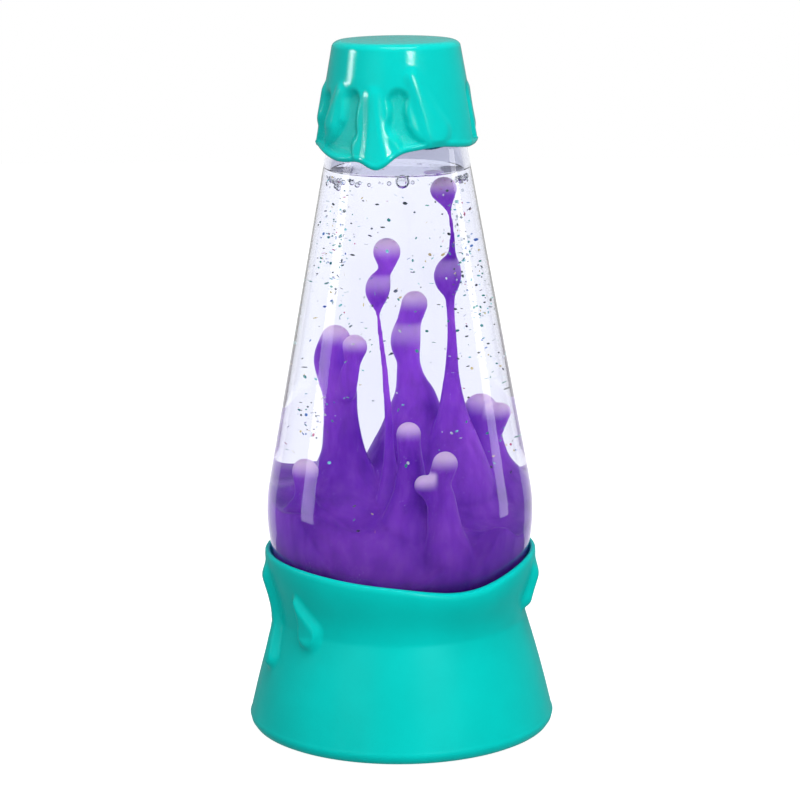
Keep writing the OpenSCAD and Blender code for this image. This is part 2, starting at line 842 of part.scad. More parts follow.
// One upright section of the cap: over the top, down the outside, up the inside.
function cap_section(a) =
    let(edge = cap_edge_z(a))
    let(side_top = cap_top - 2.6)
    concat(
        [
            [8, cap_ceiling],
            [cap_inner_r(cap_ceiling) - 0.4, cap_ceiling],
            [cap_inner_r(cap_ceiling - 3), cap_ceiling - 3],
            [cap_inner_r(edge + 4), edge + 4],
            [cap_inner_r(edge), edge + 0.4],
            [cap_inner_r(edge) + 0.6, edge],
            [cap_outer(a, edge) - 0.7, edge],
            [cap_outer(a, edge), edge + 0.9]
        ],
        [
            for (i = [1 : 10])
                let(z = mix(edge + 0.9, side_top, i / 10))
                [cap_outer(a, z), z]
        ],
        [
            [cap_top_r - 0.2, cap_top - 1.2],
            [cap_top_r - 0.9, cap_top - 0.3],
            [cap_top_r - 1.9, cap_top],
            [8, cap_top]
        ]
    );

module cap_shell() {
    color("turquoise")
        walked_cup([for (a = [0 : 3 : 357]) cap_section(a)]);
}

// ---------------------------------------------------------------- assembly

base_shell();
bottle_cradle();
seat_pad();
light_lens();
reflector();
led_board();
leds();
bottom_cover();
cover_screws();
battery_tray();
batteries();
battery_springs();
battery_contacts();
battery_door();
switch_body();
switch_knob();
foot_ring();
wire_red();
wire_black();
bottle();
liquid();
lava();
glitter();
cap_liner();
screw_cap();
cap_socket();
cap_shell();
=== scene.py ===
# %% [markdown]
# # A battery lava lamp
#
# The lamp is a flared turquoise base, a clear tapered bottle of water, glitter and
# violet wax, and a turquoise cap that looks as if it were melting. Its working parts
# come from a fixed frame: every solid there already has its exact place. This file
# only makes the visible surfaces finer and gives each part its finish.

# %% Load the frame
import math
import random

import bmesh
import bpy
from mathutils import Matrix, Vector


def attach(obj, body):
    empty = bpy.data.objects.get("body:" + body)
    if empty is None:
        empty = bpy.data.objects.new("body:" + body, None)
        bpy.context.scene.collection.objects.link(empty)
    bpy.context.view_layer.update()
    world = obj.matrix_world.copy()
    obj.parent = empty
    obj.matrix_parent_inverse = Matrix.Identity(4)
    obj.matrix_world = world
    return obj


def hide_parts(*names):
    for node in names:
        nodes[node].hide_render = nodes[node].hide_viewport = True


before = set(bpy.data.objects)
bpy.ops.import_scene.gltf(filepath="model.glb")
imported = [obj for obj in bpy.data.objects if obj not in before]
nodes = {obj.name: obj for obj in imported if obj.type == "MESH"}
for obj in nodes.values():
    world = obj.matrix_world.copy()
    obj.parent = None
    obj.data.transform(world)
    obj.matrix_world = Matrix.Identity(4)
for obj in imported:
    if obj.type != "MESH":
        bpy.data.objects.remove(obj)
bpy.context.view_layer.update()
print("parts in the frame:", len(nodes))

# %% [markdown]
# ## Sizes
#
# Work in millimetres, because a mould maker does, and turn to metres only when a
# vertex is placed. These sizes repeat those of the frame, so that a finer surface
# lies where the plain one lay. Heights are measured from the table.

# %% Sizes of the lamp
MM = 0.001

bottle_z = 32.0      # underside of the bottle
belly_z = 77.0       # height of the bottle's largest width
belly_r = 46.5
foot_r = 29.0
shoulder_r = 24.0
shoulder_z = 205.0
shoulder_h = 6.0
neck_r = 14.0
neck_top = 232.6
wall = 2.5
blend_h = 11.0
floor_z = 37.0       # inner floor of the bottle
water_z = 196.0
taper = (belly_r - shoulder_r) / (shoulder_z - belly_z - blend_h / 2)

base_r = 53.8
base_wall = 2.4
waist_z = 40.0
rim_z = 64.0
cap_edge = 205.3
cap_top = 240.0


def bottle_r(z):
    """Outside radius of the bottle at a height."""
    if z < belly_z:
        return belly_r - (belly_r - foot_r) * ((belly_z - z) / (belly_z - bottle_z)) ** 2
    if z < belly_z + blend_h:
        return belly_r - taper * (z - belly_z) ** 2 / (2 * blend_h)
    return shoulder_r + taper * (shoulder_z - z)


def inside_r(z, depth):
    """Radius of a surface that lies this deep inside the bottle's face."""
    slope = (bottle_r(z + 0.05) - bottle_r(z - 0.05)) / 0.1
    return bottle_r(z) - depth * math.sqrt(1 + slope * slope)


waist_r = bottle_r(waist_z) + 6.9 + base_wall
rim_r = bottle_r(rim_z) + 0.5 + 2.0
print("belly", 2 * belly_r, "mm, waist", round(2 * waist_r, 1), "mm, rim", round(2 * rim_r, 1), "mm")

# %% [markdown]
# ## Camera
#
# A studio would shoot this with a long lens a metre away, a little above the cap, so
# that the upright sides stay straight. The camera goes in first, because every later
# choice is checked through it. The small roll leans the lamp as a hand-held frame does.

# %% Place the camera
lens_info = bpy.data.cameras.new("studio_camera")
lens_info.lens = 125.1
lens_info.sensor_width = 36.0
lens_info.clip_end = 20.0
camera = bpy.data.objects.new("studio_camera", lens_info)
bpy.context.scene.collection.objects.link(camera)
camera.location = (0.00034, -0.946, 0.317)
tilt = Matrix.Rotation(math.radians(90 - 12.0), 4, "X")
roll = Matrix.Rotation(math.radians(-0.477), 4, "Z")
camera.matrix_world = Matrix.Translation(camera.location) @ tilt @ roll
bpy.context.scene.camera = camera
print("camera at", [round(v, 3) for v in camera.location])

# %% [markdown]
# ## Shaping helpers
#
# Three little functions do most of the modelling: an ease from 0 to 1 for soft steps,
# a bump round the lamp for swells in an edge, and a blend between two numbers. Angles
# are in degrees from the lamp's right-hand side, turning towards its back.

# %% Soft steps and bumps
def mix(a, b, t):
    return a + (b - a) * t


def ease(t):
    t = min(max(t, 0.0), 1.0)
    return (1 - math.cos(math.pi * t)) / 2


def turn_from(angle, centre):
    return (angle - centre + 900) % 360 - 180


def swell(angle, centre, width):
    return math.exp(-((turn_from(angle, centre) / width) ** 2))


# %% [markdown]
# A round shell is quickest as a spun outline. The outline is a chain of vertices in the
# XZ plane. Each vertex carries its row number, which the spin copies all the way round,
# so a later step can move a whole row, or bend it at chosen angles, and still know
# which part of the wall it belongs to.

# %% Spin an outline
def spin_outline(rows, steps, closed):
    """Spins points (radius, height) in mm. A closed outline makes a ring of wall."""
    bm = bmesh.new()
    row_of = bm.verts.layers.int.new("row")
    chain = []
    for number, (r, z) in enumerate(rows):
        v = bm.verts.new((r * MM, 0, z * MM))
        v[row_of] = number
        chain.append(v)
    edges = [bm.edges.new((a, b)) for a, b in zip(chain, chain[1:])]
    if closed:
        edges.append(bm.edges.new((chain[-1], chain[0])))
    bmesh.ops.spin(
        bm, geom=chain + edges, cent=(0, 0, 0), axis=(0, 0, 1), angle=math.tau,
        steps=steps, use_merge=True, use_duplicate=False,
    )
    bmesh.ops.remove_doubles(bm, verts=bm.verts, dist=1e-7)
    bmesh.ops.recalc_face_normals(bm, faces=bm.faces)
    return bm


def angle_of(v):
    return math.degrees(math.atan2(v.co.y, v.co.x)) % 360


def put(v, angle, r, z):
    """Puts a vertex at an angle, radius and height."""
    v.co = (r * MM * math.cos(math.radians(angle)), r * MM * math.sin(math.radians(angle)), z * MM)


# %% [markdown]
# Every finished mesh is wrapped the same way: smooth shading, its finishes, the moving body that carries it,
# and the plain part it stands for, which is hidden.

# %% Turn a mesh into a piece
def make_piece(name, bm, body, finishes, stands_for=()):
    mesh = bpy.data.meshes.new(name)
    bm.to_mesh(mesh)
    bm.free()
    mesh.shade_smooth()
    for finish in finishes:
        mesh.materials.append(finish)
    piece = bpy.data.objects.new(name, mesh)
    bpy.context.scene.collection.objects.link(piece)
    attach(piece, body)
    if stands_for:
        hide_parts(*stands_for)
    print(name, "has", len(mesh.polygons), "faces")
    return piece


# %% [markdown]
# ## Finishes
#
# Moulded plastic is never one flat colour: the skin has a fine orange-peel, the colour
# drifts a little where the melt cooled, and handling leaves patches that shine more.
# One builder makes them all from Object coordinates, so the pattern stays put when the
# part moves.

# %% A builder for node materials
def srgb(r, g, b):
    """A colour picked on a screen, 0 to 255, as the linear numbers a shader wants."""
    def channel(c):
        c = c / 255
        return c / 12.92 if c <= 0.04045 else ((c + 0.055) / 1.055) ** 2.4
    return (channel(r), channel(g), channel(b), 1.0)


class Finish:
    """A node material with a Principled shader and room to add to it."""

    def __init__(self, name, roughness=0.5, specular=0.5):
        self.material = bpy.data.materials.new(name)
        self.material.use_nodes = True
        self.tree = self.material.node_tree
        self.shader = self.tree.nodes["Principled BSDF"]
        self.set("Roughness", roughness)
        self.set("Specular IOR Level", specular)
        self.place = self.add("ShaderNodeTexCoord")

    def add(self, kind, **inputs):
        node = self.tree.nodes.new(kind)
        for key, value in inputs.items():
            self.feed(node, key.replace("_", " "), value)
        return node

    def feed(self, node, socket, value):
        target = node.inputs[socket]
        if isinstance(value, bpy.types.NodeSocket):
            self.tree.links.new(value, target)
        else:
            target.default_value = value

    def set(self, socket, value):
        self.feed(self.shader, socket, value)

    def noise(self, scale, detail=3.0, stretch=(1, 1, 1), roughness=0.5):
        """Noise in object space. Scale is cells per metre."""
        mapping = self.add("ShaderNodeMapping", Vector=self.place.outputs["Object"])
        mapping.inputs["Scale"].default_value = stretch
        node = self.add("ShaderNodeTexNoise", Vector=mapping.outputs["Vector"])
        node.inputs["Scale"].default_value = scale
        node.inputs["Detail"].default_value = detail
        node.inputs["Roughness"].default_value = roughness
        return node.outputs["Fac"]

    def ramp(self, value, stops, easing="LINEAR"):
        node = self.add("ShaderNodeValToRGB", Fac=value)
        node.color_ramp.interpolation = easing
        elements = node.color_ramp.elements
        while len(elements) > 1:
            elements.remove(elements[-1])
        elements[0].position, elements[0].color = stops[0]
        for position, colour in stops[1:]:
            elements.new(position).color = colour
        return node.outputs["Color"]

    def spread(self, value, low, high, start=0.3, end=0.7):
        node = self.add("ShaderNodeMapRange", Value=value)
        node.inputs["From Min"].default_value = start
        node.inputs["From Max"].default_value = end
        node.inputs["To Min"].default_value = low
        node.inputs["To Max"].default_value = high
        return node.outputs["Result"]

    def blend(self, factor, a, b):
        node = self.tree.nodes.new("ShaderNodeMix")
        node.data_type = "RGBA"
        self.feed(node, "Factor", factor)
        for socket, value in ((node.inputs[6], a), (node.inputs[7], b)):
            if isinstance(value, bpy.types.NodeSocket):
                self.tree.links.new(value, socket)
            else:
                socket.default_value = value
        return node.outputs[2]

    def maths(self, operation, a, b=0.0):
        node = self.tree.nodes.new("ShaderNodeMath")
        node.operation = operation
        self.feed(node, 0, a)
        self.feed(node, 1, b)
        return node.outputs[0]

    def axis(self, name):
        """X, Y or Z of the place on the object, in metres."""
        split = self.add("ShaderNodeSeparateXYZ", Vector=self.place.outputs["Object"])
        return split.outputs[name]

    def bump(self, height, strength, distance):
        node = self.add("ShaderNodeBump", Height=height)
        node.inputs["Strength"].default_value = strength if not isinstance(
            strength, bpy.types.NodeSocket) else 1.0
        if isinstance(strength, bpy.types.NodeSocket):
            self.tree.links.new(strength, node.inputs["Strength"])
        node.inputs["Distance"].default_value = distance
        self.set("Normal", node.outputs["Normal"])
        return node


def moulded(name, dark, light, roughness=0.4, peel=0.2, peel_size=2600, specular=0.5):
    """Injection-moulded plastic: a drifting colour, a fine peel and uneven shine."""
    finish = Finish(name, roughness, specular)
    drift = finish.noise(45, 4)
    finish.set("Base Color", finish.ramp(drift, [(0.3, dark), (0.7, light)]))
    finish.set("Roughness", finish.spread(finish.noise(160, 5), roughness - 0.05, roughness + 0.06))
    finish.bump(finish.noise(peel_size, 2), peel, 0.00012)
    return finish


# %% [markdown]
# The visible shell is a saturated turquoise polypropylene with a satin skin. Where the
# moulded drips sink back to the plain wall, the tool was left finely pitted. The mesh
# will carry that as an attribute called pitted, and the bump reads it.

# %% Turquoise shell plastic
def shell_plastic(name, pits):
    finish = Finish(name, 0.24, 0.0)
    drift = finish.noise(38, 4)
    tone = finish.ramp(drift, [(0.3, srgb(0, 198, 190)), (0.72, srgb(0, 211, 203))])
    speck = finish.ramp(finish.noise(5200, 2), [(0.35, srgb(0, 188, 181)), (0.6, srgb(0, 216, 209))])
    finish.set("Base Color", finish.blend(0.22, tone, speck))
    finish.set("Roughness", finish.spread(finish.noise(140, 5), 0.1, 0.15) if pits else \
               finish.spread(finish.noise(140, 5), 0.3, 0.38))
    finish.set("Subsurface Weight", 0.12)
    finish.set("Subsurface Scale", 0.004)
    finish.set("Subsurface Radius", (0.2, 1.0, 0.95))
    finish.set("Specular IOR Level", 0.16 if pits else 0.07)
    finish.set("Coat Weight", 0.02)
    finish.set("Coat Roughness", 0.1)
    peel = finish.noise(2300, 3, roughness=0.6)
    if pits:
        mark = finish.add("ShaderNodeAttribute")
        mark.attribute_name = "pitted"
        strength = finish.spread(mark.outputs["Fac"], 0.12, 0.9, 0.0, 1.0)
        finish.bump(peel, strength, 0.0003)
    else:
        finish.bump(peel, 0.08, 0.0001)
    return finish.material


base_plastic = shell_plastic("turquoise_base", False)
cap_plastic = shell_plastic("turquoise_cap", True)
print("shell finishes:", base_plastic.name, cap_plastic.name)

# %% [markdown]
# ## Base
#
# The base is a hollow cone with a waist, and above the waist a collar that flares out
# to a rolled rim. The rim dips at the front, and thick drips run down from it. Spin a
# section with many rows first, then bend every row: the rim's dip stretches the collar,
# and the drips push the outside wall out. A drip is a line on the wall with a half width
# at each end; the closer a vertex is to that line, the further it stands out.

# %% How far a drip stands out
def drip_level(angle, z, drip, radius, soft):
    """0 away from the drip, 1 on it. A drip is (angle, z, angle, z, width, bulb width)."""
    a0, z0, a1, z1, w0, w1 = drip
    to_mm = radius * math.pi / 180
    run_x, run_z = turn_from(a1, a0) * to_mm, z1 - z0
    px, pz = turn_from(angle, a0) * to_mm, z - z0
    t = min(max((px * run_x + pz * run_z) / (run_x ** 2 + run_z ** 2), 0.0), 1.0)
    gap = math.hypot(px - t * run_x, pz - t * run_z)
    width = mix(w0, w1, t) - 0.25 * w0 * math.sin(math.pi * t)
    return ease((width - gap) / soft + 0.5)


base_drips = [
    (191, 61, 199.5, 29.0, 3.0, 3.7),
    (219, 52, 225, 41.5, 0.9, 5.2),
    (350, 60, 345, 47, 3.4, 2.6),
    (32, 60, 38, 43, 3.4, 3.6),
    (80, 60, 84, 33, 3.2, 3.2),
    (122, 60, 130, 44, 3.6, 4.0),
]


def rim_level(angle):
    return (rim_z - 6 * swell(angle, 299, 30) - 1.5 * swell(angle, 255, 25)
            - 2.5 * swell(angle, 95, 40))


def flare_r(z):
    t = min(max((z - 3) / (waist_z - 3), 0.0), 1.0)
    return mix(base_r, waist_r, t) + 0.4 * math.sin(math.pi * t)


def base_relief(angle, z):
    return 2.7 * max(drip_level(angle, z, d, waist_r + 3, 2.8) for d in base_drips)


print("rim at the front:", round(rim_level(270), 1), "mm, lowest:", round(rim_level(299), 1), "mm")

# %% The base's section at any angle
CONE_ROWS = 46
COLLAR_ROWS = 26


def base_section(angle):
    """Radius and height of each row: outside, over the rim, then down the inside."""
    top = rim_level(angle)
    rows = [(base_r - 2.6, 0.8), (base_r - 1.4, 1.3), (base_r - 0.5, 2.6), (base_r - 0.1, 4.2)]
    for i in range(1, CONE_ROWS + 1):
        z = mix(4.2, waist_z, i / CONE_ROWS)
        rows.append((flare_r(z) + base_relief(angle, z), z))
    for i in range(1, COLLAR_ROWS + 1):
        t = i / COLLAR_ROWS
        z = mix(waist_z, top - 2, t)
        fade = 1 - ease((z - top + 9) / 7)
        rows.append((mix(waist_r, rim_r, ease(t) ** 1.25) + fade * base_relief(angle, z), z))
    lip = bottle_r(top) + 0.5
    outer = rim_r
    middle, half = (outer + lip) / 2, (outer - lip) / 2
    for i in range(1, 8):
        turn = math.pi * i / 8
        rows.append((middle + half * math.cos(turn), top - 1.2 + 1.2 * math.sin(turn)))
    rows += [(lip, top - 1.4), (bottle_r(top - 5) + 0.5, top - 5)]
    rows += [(flare_r(waist_z) - base_wall, waist_z)]
    rows += [(flare_r(z) - base_wall, z) for z in (30, 20, 12, 6, 3)]
    rows += [(base_r - base_wall, 0.8)]
    return rows


# %% Spin the base and bend it
bm = spin_outline(base_section(120), 480, closed=True)
row_of = bm.verts.layers.int["row"]
sections = {}
for v in bm.verts:
    angle = angle_of(v)
    key = round(angle * 100)
    if key not in sections:
        sections[key] = base_section(angle)
    r, z = sections[key][v[row_of]]
    put(v, angle, r, z)
crease_row = 3 + CONE_ROWS
for _ in range(3):
    soft = [v for v in bm.verts if crease_row + 2 < v[row_of] < crease_row + COLLAR_ROWS
            or 6 < v[row_of] < crease_row - 1]
    bmesh.ops.smooth_vert(bm, verts=soft, factor=0.5, use_axis_x=True, use_axis_y=True, use_axis_z=True)
bmesh.ops.recalc_face_normals(bm, faces=bm.faces)
base_body = make_piece("dripping_base", bm, "base", [base_plastic], ["base_shell"])

# %% [markdown]
# ## Cap
#
# The cap is a tapered cup whose skin looks like thick icing: a smooth layer runs down
# from the top in tongues, and between the tongues the lower, pitted wall shows. It is
# bent like the base, but the vertices also remember how deep in the icing they are.

# %% The cap's section at any angle
cap_r, cap_top_r = 27.5, 21.8
# where the skin sinks back: angle and height of the arch's top, of its foot, half widths
hollows = [
    (200, 221.5, 196, 203, 2.2, 4.0), (232, 222.2, 230.5, 212, 2.9, 3.6), (229, 212, 222, 204.5, 3.6, 7.4),
    (271, 222.4, 271, 215, 3.2, 3.2), (271, 214, 283, 206, 3.0, 3.6), (352, 222.5, 350, 204, 3.4, 4.8),
    (28, 220, 34, 203, 3.0, 4.4), (84, 223, 80, 203, 3.0, 4.8), (112, 220, 118, 203, 2.8, 4.0),
    (168, 223, 172, 203, 3.2, 5.0),
]
# drops that hang proud of the skin
drops = [(219, 225, 211.5, 214.5, 1.8, 3.1), (283, 230, 300, 212.5, 2.2, 4.6), (251, 224, 256, 202, 2.2, 4.4),
         (12, 224, 16, 213, 2.4, 3.6), (58, 222, 62, 205, 2.6, 4.0), (98, 224, 98, 214, 2.2, 3.2),
         (146, 222, 150, 206, 2.6, 4.0), (186, 224, 186, 216, 2.2, 3.0)]


def cone_r(z):
    return mix(cap_r, cap_top_r, (z - cap_edge) / (cap_top - 3 - cap_edge))


def cap_edge_z(angle):
    return (cap_edge - 3.7 * swell(angle, 226, 26) - 4.7 * swell(angle, 257, 11.5)
            + 1.3 * swell(angle, 303, 20) - 3.5 * swell(angle, 63, 13) - 3 * swell(angle, 151, 16))


def icing(angle, z):
    return 1 - max(drip_level(angle, z, h, cap_r - 2.5, 2.6) for h in hollows)


def cap_outer(angle, z):
    proud = 1.0 * max(drip_level(angle, z, d, cap_r - 2.5, 3.8) for d in drops)
    lip = 1.7 * ease((cap_edge_z(angle) + 4.6 - z) / 5)
    return cone_r(z) - 1.7 + max(2.1 * icing(angle, z), lip) + proud


SIDE_ROWS = 62


def cap_section(angle):
    """Radius and height of each row, from the middle of the ceiling round to the top."""
    edge = cap_edge_z(angle)
    inner = cone_r(238) - 2.6
    rows = [(0.0, 238.0), (8.0, 238.0), (inner - 0.4, 238.0), (cone_r(235) - 2.6, 235.0),
            (cone_r(222) - 2.6, 222.0), (cone_r(edge + 4) - 2.6, edge + 4)]
    rows += [(cone_r(edge) - 2.6, edge + 0.5), (cone_r(edge) - 2.2, edge + 0.1),
             (cone_r(edge) - 1.7, edge)]
    face = cap_outer(angle, edge)
    rows += [(face - 1.1, edge + 0.1), (face - 0.4, edge + 0.6), (face, edge + 1.8)]
    for i in range(1, SIDE_ROWS + 1):
        z = mix(edge + 1.8, cap_top - 1.8, i / SIDE_ROWS)
        rows.append((cap_outer(angle, z), z))
    shoulder = cap_outer(angle, cap_top - 1.8)
    for i in range(1, 7):
        turn = math.pi / 2 * i / 6
        rows.append((shoulder - 3.2 + 3.2 * math.cos(turn), cap_top - 1.8 + 2.5 * math.sin(turn)))
    rows += [(15.0, cap_top + 0.85), (8.0, cap_top + 0.97), (0.0, cap_top + 1.0)]
    return rows


# %% Spin the cap and bend it
bm = spin_outline(cap_section(120), 480, closed=False)
row_of = bm.verts.layers.int["row"]
pitted = bm.verts.layers.float.new("pitted")
sections = {}
for v in bm.verts:
    if math.hypot(v.co.x, v.co.y) < 1e-6:
        continue
    angle = angle_of(v)
    key = round(angle * 100)
    if key not in sections:
        sections[key] = cap_section(angle)
    r, z = sections[key][v[row_of]]
    put(v, angle, r, z)
    if 11 < v[row_of] < 12 + SIDE_ROWS:
        v[pitted] = 1 - icing(angle, z)
for _ in range(3):
    soft = [v for v in bm.verts if 14 < v[row_of] < 10 + SIDE_ROWS]
    bmesh.ops.smooth_vert(bm, verts=soft, factor=0.5, use_axis_x=True, use_axis_y=True, use_axis_z=True)
bmesh.ops.recalc_face_normals(bm, faces=bm.faces)
cap_body = make_piece("dripping_cap", bm, "cap", [cap_plastic], ["cap_shell"])

# %% [markdown]
# ## Bottle
#
# A clear PET bottle is one closed wall: outside, over the lip, down the inside. Light
# bends where the wall meets air, and only slightly where it meets water, so the bottle
# takes two finishes. The faces that touch water get the small step from plastic to
# water, and the others the full step from plastic to air. Then the filling can be a
# plain body of water, and everything in it is magnified as it is in a real bottle. The
# bend is kept a little gentler than water's, which keeps the bottle's sides clean.

# %% Clear finishes
def clear(name, ior, tint, edge_tint, roughness=0.0, faint=0.0):
    """See-through plastic or water. The edge tint shows where the wall is seen end on."""
    finish = Finish(name, roughness)
    finish.set("IOR", ior)
    finish.set("Transmission Weight", 1.0)
    facing = finish.add("ShaderNodeLayerWeight")
    facing.inputs["Blend"].default_value = 0.35
    cloud = finish.blend(finish.spread(finish.noise(30, 3), 0.0, 1.0), tint,
                         tuple(c * 0.985 for c in tint[:3]) + (1.0,))
    finish.set("Base Color", finish.blend(facing.outputs["Facing"], cloud, edge_tint))
    if faint:
        finish.bump(finish.noise(60, 2), faint, 0.0004)
    return finish.material


pet_to_air = clear("clear_pet", 1.3, (0.665, 0.68, 0.79, 1), (0.88, 0.9, 1.0, 1), 0.0, 0.02)
pet_to_water = clear("clear_pet_on_water", 1.083, (1, 1, 1, 1), (1, 1, 1, 1))
water_top = clear("water_surface", 1.25, (1, 1, 1, 1), (0.9, 0.92, 0.96, 1), 0.0, 0.05)
water_side = clear("water_against_wall", 1.0, (1, 1, 1, 1), (1, 1, 1, 1))
print("clear finishes ready")

# %% The bottle's outline
climb = 1.3          # how far the water climbs the wall
PITCH = 4.0          # rise of the closure in one turn


def steps(a, b, size):
    """Numbers from a to b, about this far apart, without a."""
    count = max(1, round(abs(b - a) / size))
    return [mix(a, b, i / count) for i in range(1, count + 1)]


outside = [(0.0, 34.0), (12.0, 34.0), (20.0, 33.9), (22.6, 33.2), (24.2, 32.4), (25.6, 32.0),
           (27.6, 32.0), (28.7, 32.2), (29.5, 32.7)]
outside += [(bottle_r(z), z) for z in steps(32.7, shoulder_z - 0.4, 1.6)][1:]
for i in range(0, 13):
    turn = math.pi / 2 * i / 12
    outside.append((neck_r + (shoulder_r - neck_r) * math.cos(turn),
                    shoulder_z + shoulder_h * math.sin(turn)))
outside += [(neck_r, z) for z in steps(211.0, 232.0, 0.35)]
outside += [(13.8, 232.4), (13.4, neck_top), (12.6, neck_top), (12.0, neck_top), (11.6, 232.4)]
inside = [(11.5, z) for z in steps(232.0, 208.5, 2.0)]
shoulder_in = inside_r(shoulder_z, wall)
for i in range(11, -1, -1):
    turn = math.pi / 2 * i / 12
    inside.append((11.5 + (shoulder_in - 11.5) * math.cos(turn), shoulder_z + 3.5 * math.sin(turn)))
inside += [(inside_r(z, wall), z) for z in steps(shoulder_z, water_z + climb, 1.5)]
inside += [(inside_r(z, wall), z) for z in steps(water_z + climb, 43.0, 1.6)]
inside += [(inside_r(41.0, wall), 41.2), (inside_r(39.4, wall) - 0.2, 39.4),
           (inside_r(38.2, wall) - 0.8, 38.0), (inside_r(37.6, wall) - 2.0, 37.3),
           (inside_r(37.4, wall) - 3.6, floor_z), (18.0, floor_z), (9.0, floor_z), (0.0, floor_z)]
print("bottle outline:", len(outside) + len(inside), "points")

# %% Spin the bottle and cut its thread
bm = spin_outline(outside + inside, 224, closed=False)
row_of = bm.verts.layers.int["row"]
for v in bm.verts:
    z = v.co.z / MM
    if 216 < z < 231.5 and v[row_of] < len(outside):
        angle = angle_of(v)
        turns = (z - 218.0) / PITCH - angle / 360
        near = abs(turns - round(turns)) * PITCH
        ends = ease((z - 217.2) / 1.6) * ease((227.6 - z) / 1.6)
        put(v, angle, neck_r + 1.1 * ends * ease((1.25 - near) / 0.8), z)
for face in bm.faces:
    rows = [v[row_of] for v in face.verts]
    middle = face.calc_center_median().z / MM
    face.material_index = 1 if min(rows) >= len(outside) and middle < water_z + climb else 0
bmesh.ops.recalc_face_normals(bm, faces=bm.faces)
bottle_wall = make_piece("clear_bottle", bm, "bottle", [pet_to_air, pet_to_water], ["bottle"])

# %% [markdown]
# ## Water
#
# The water fills the bottle to a little under the shoulder. Its skin climbs the wall in
# a small curve, and that curve is what draws the dark line at the water's edge. The
# body reaches a hair into the wall, so no film of air is left between the two.

# %% Spin the water
def surface_z(r, edge):
    return water_z + climb * math.exp(-(edge - r) / 1.3)


reach = 0.12
edge = inside_r(water_z + climb, wall - reach)
levels = steps(41.0, water_z + climb, 2.2)
water_rows = [(0.0, 36.9), (9.0, 36.9), (18.0, 36.9), (inside_r(37.4, wall) - 3.5, 36.9),
              (inside_r(38.2, wall) - 0.7, 37.9), (inside_r(39.4, wall) - 0.1, 39.4)]
water_rows += [(inside_r(z, wall - reach), z) for z in levels]
water_rows += [(r, surface_z(r, edge)) for r in steps(edge, edge - 5, 0.4) + steps(edge - 5, 0.0, 2.0)]
bm = spin_outline(water_rows, 160, closed=False)
row_of = bm.verts.layers.int["row"]
for face in bm.faces:
    face.material_index = 1 if min(v[row_of] for v in face.verts) >= 5 + len(levels) else 0
make_piece("water", bm, "bottle", [water_side, water_top], ["liquid"])

# %% [markdown]
# ## Wax
#
# Warm wax rises in columns that end in round heads. Each column is a path with a
# sideways radius and an upright radius at every point: the curved bottle widens what
# stands in it, but doesn't stretch it upwards, so a head that is to look round has to
# be a little narrow. Balls are strung along the path, and a voxel remesh melts
# them together with the pool into one skin, the same way that real wax joins.

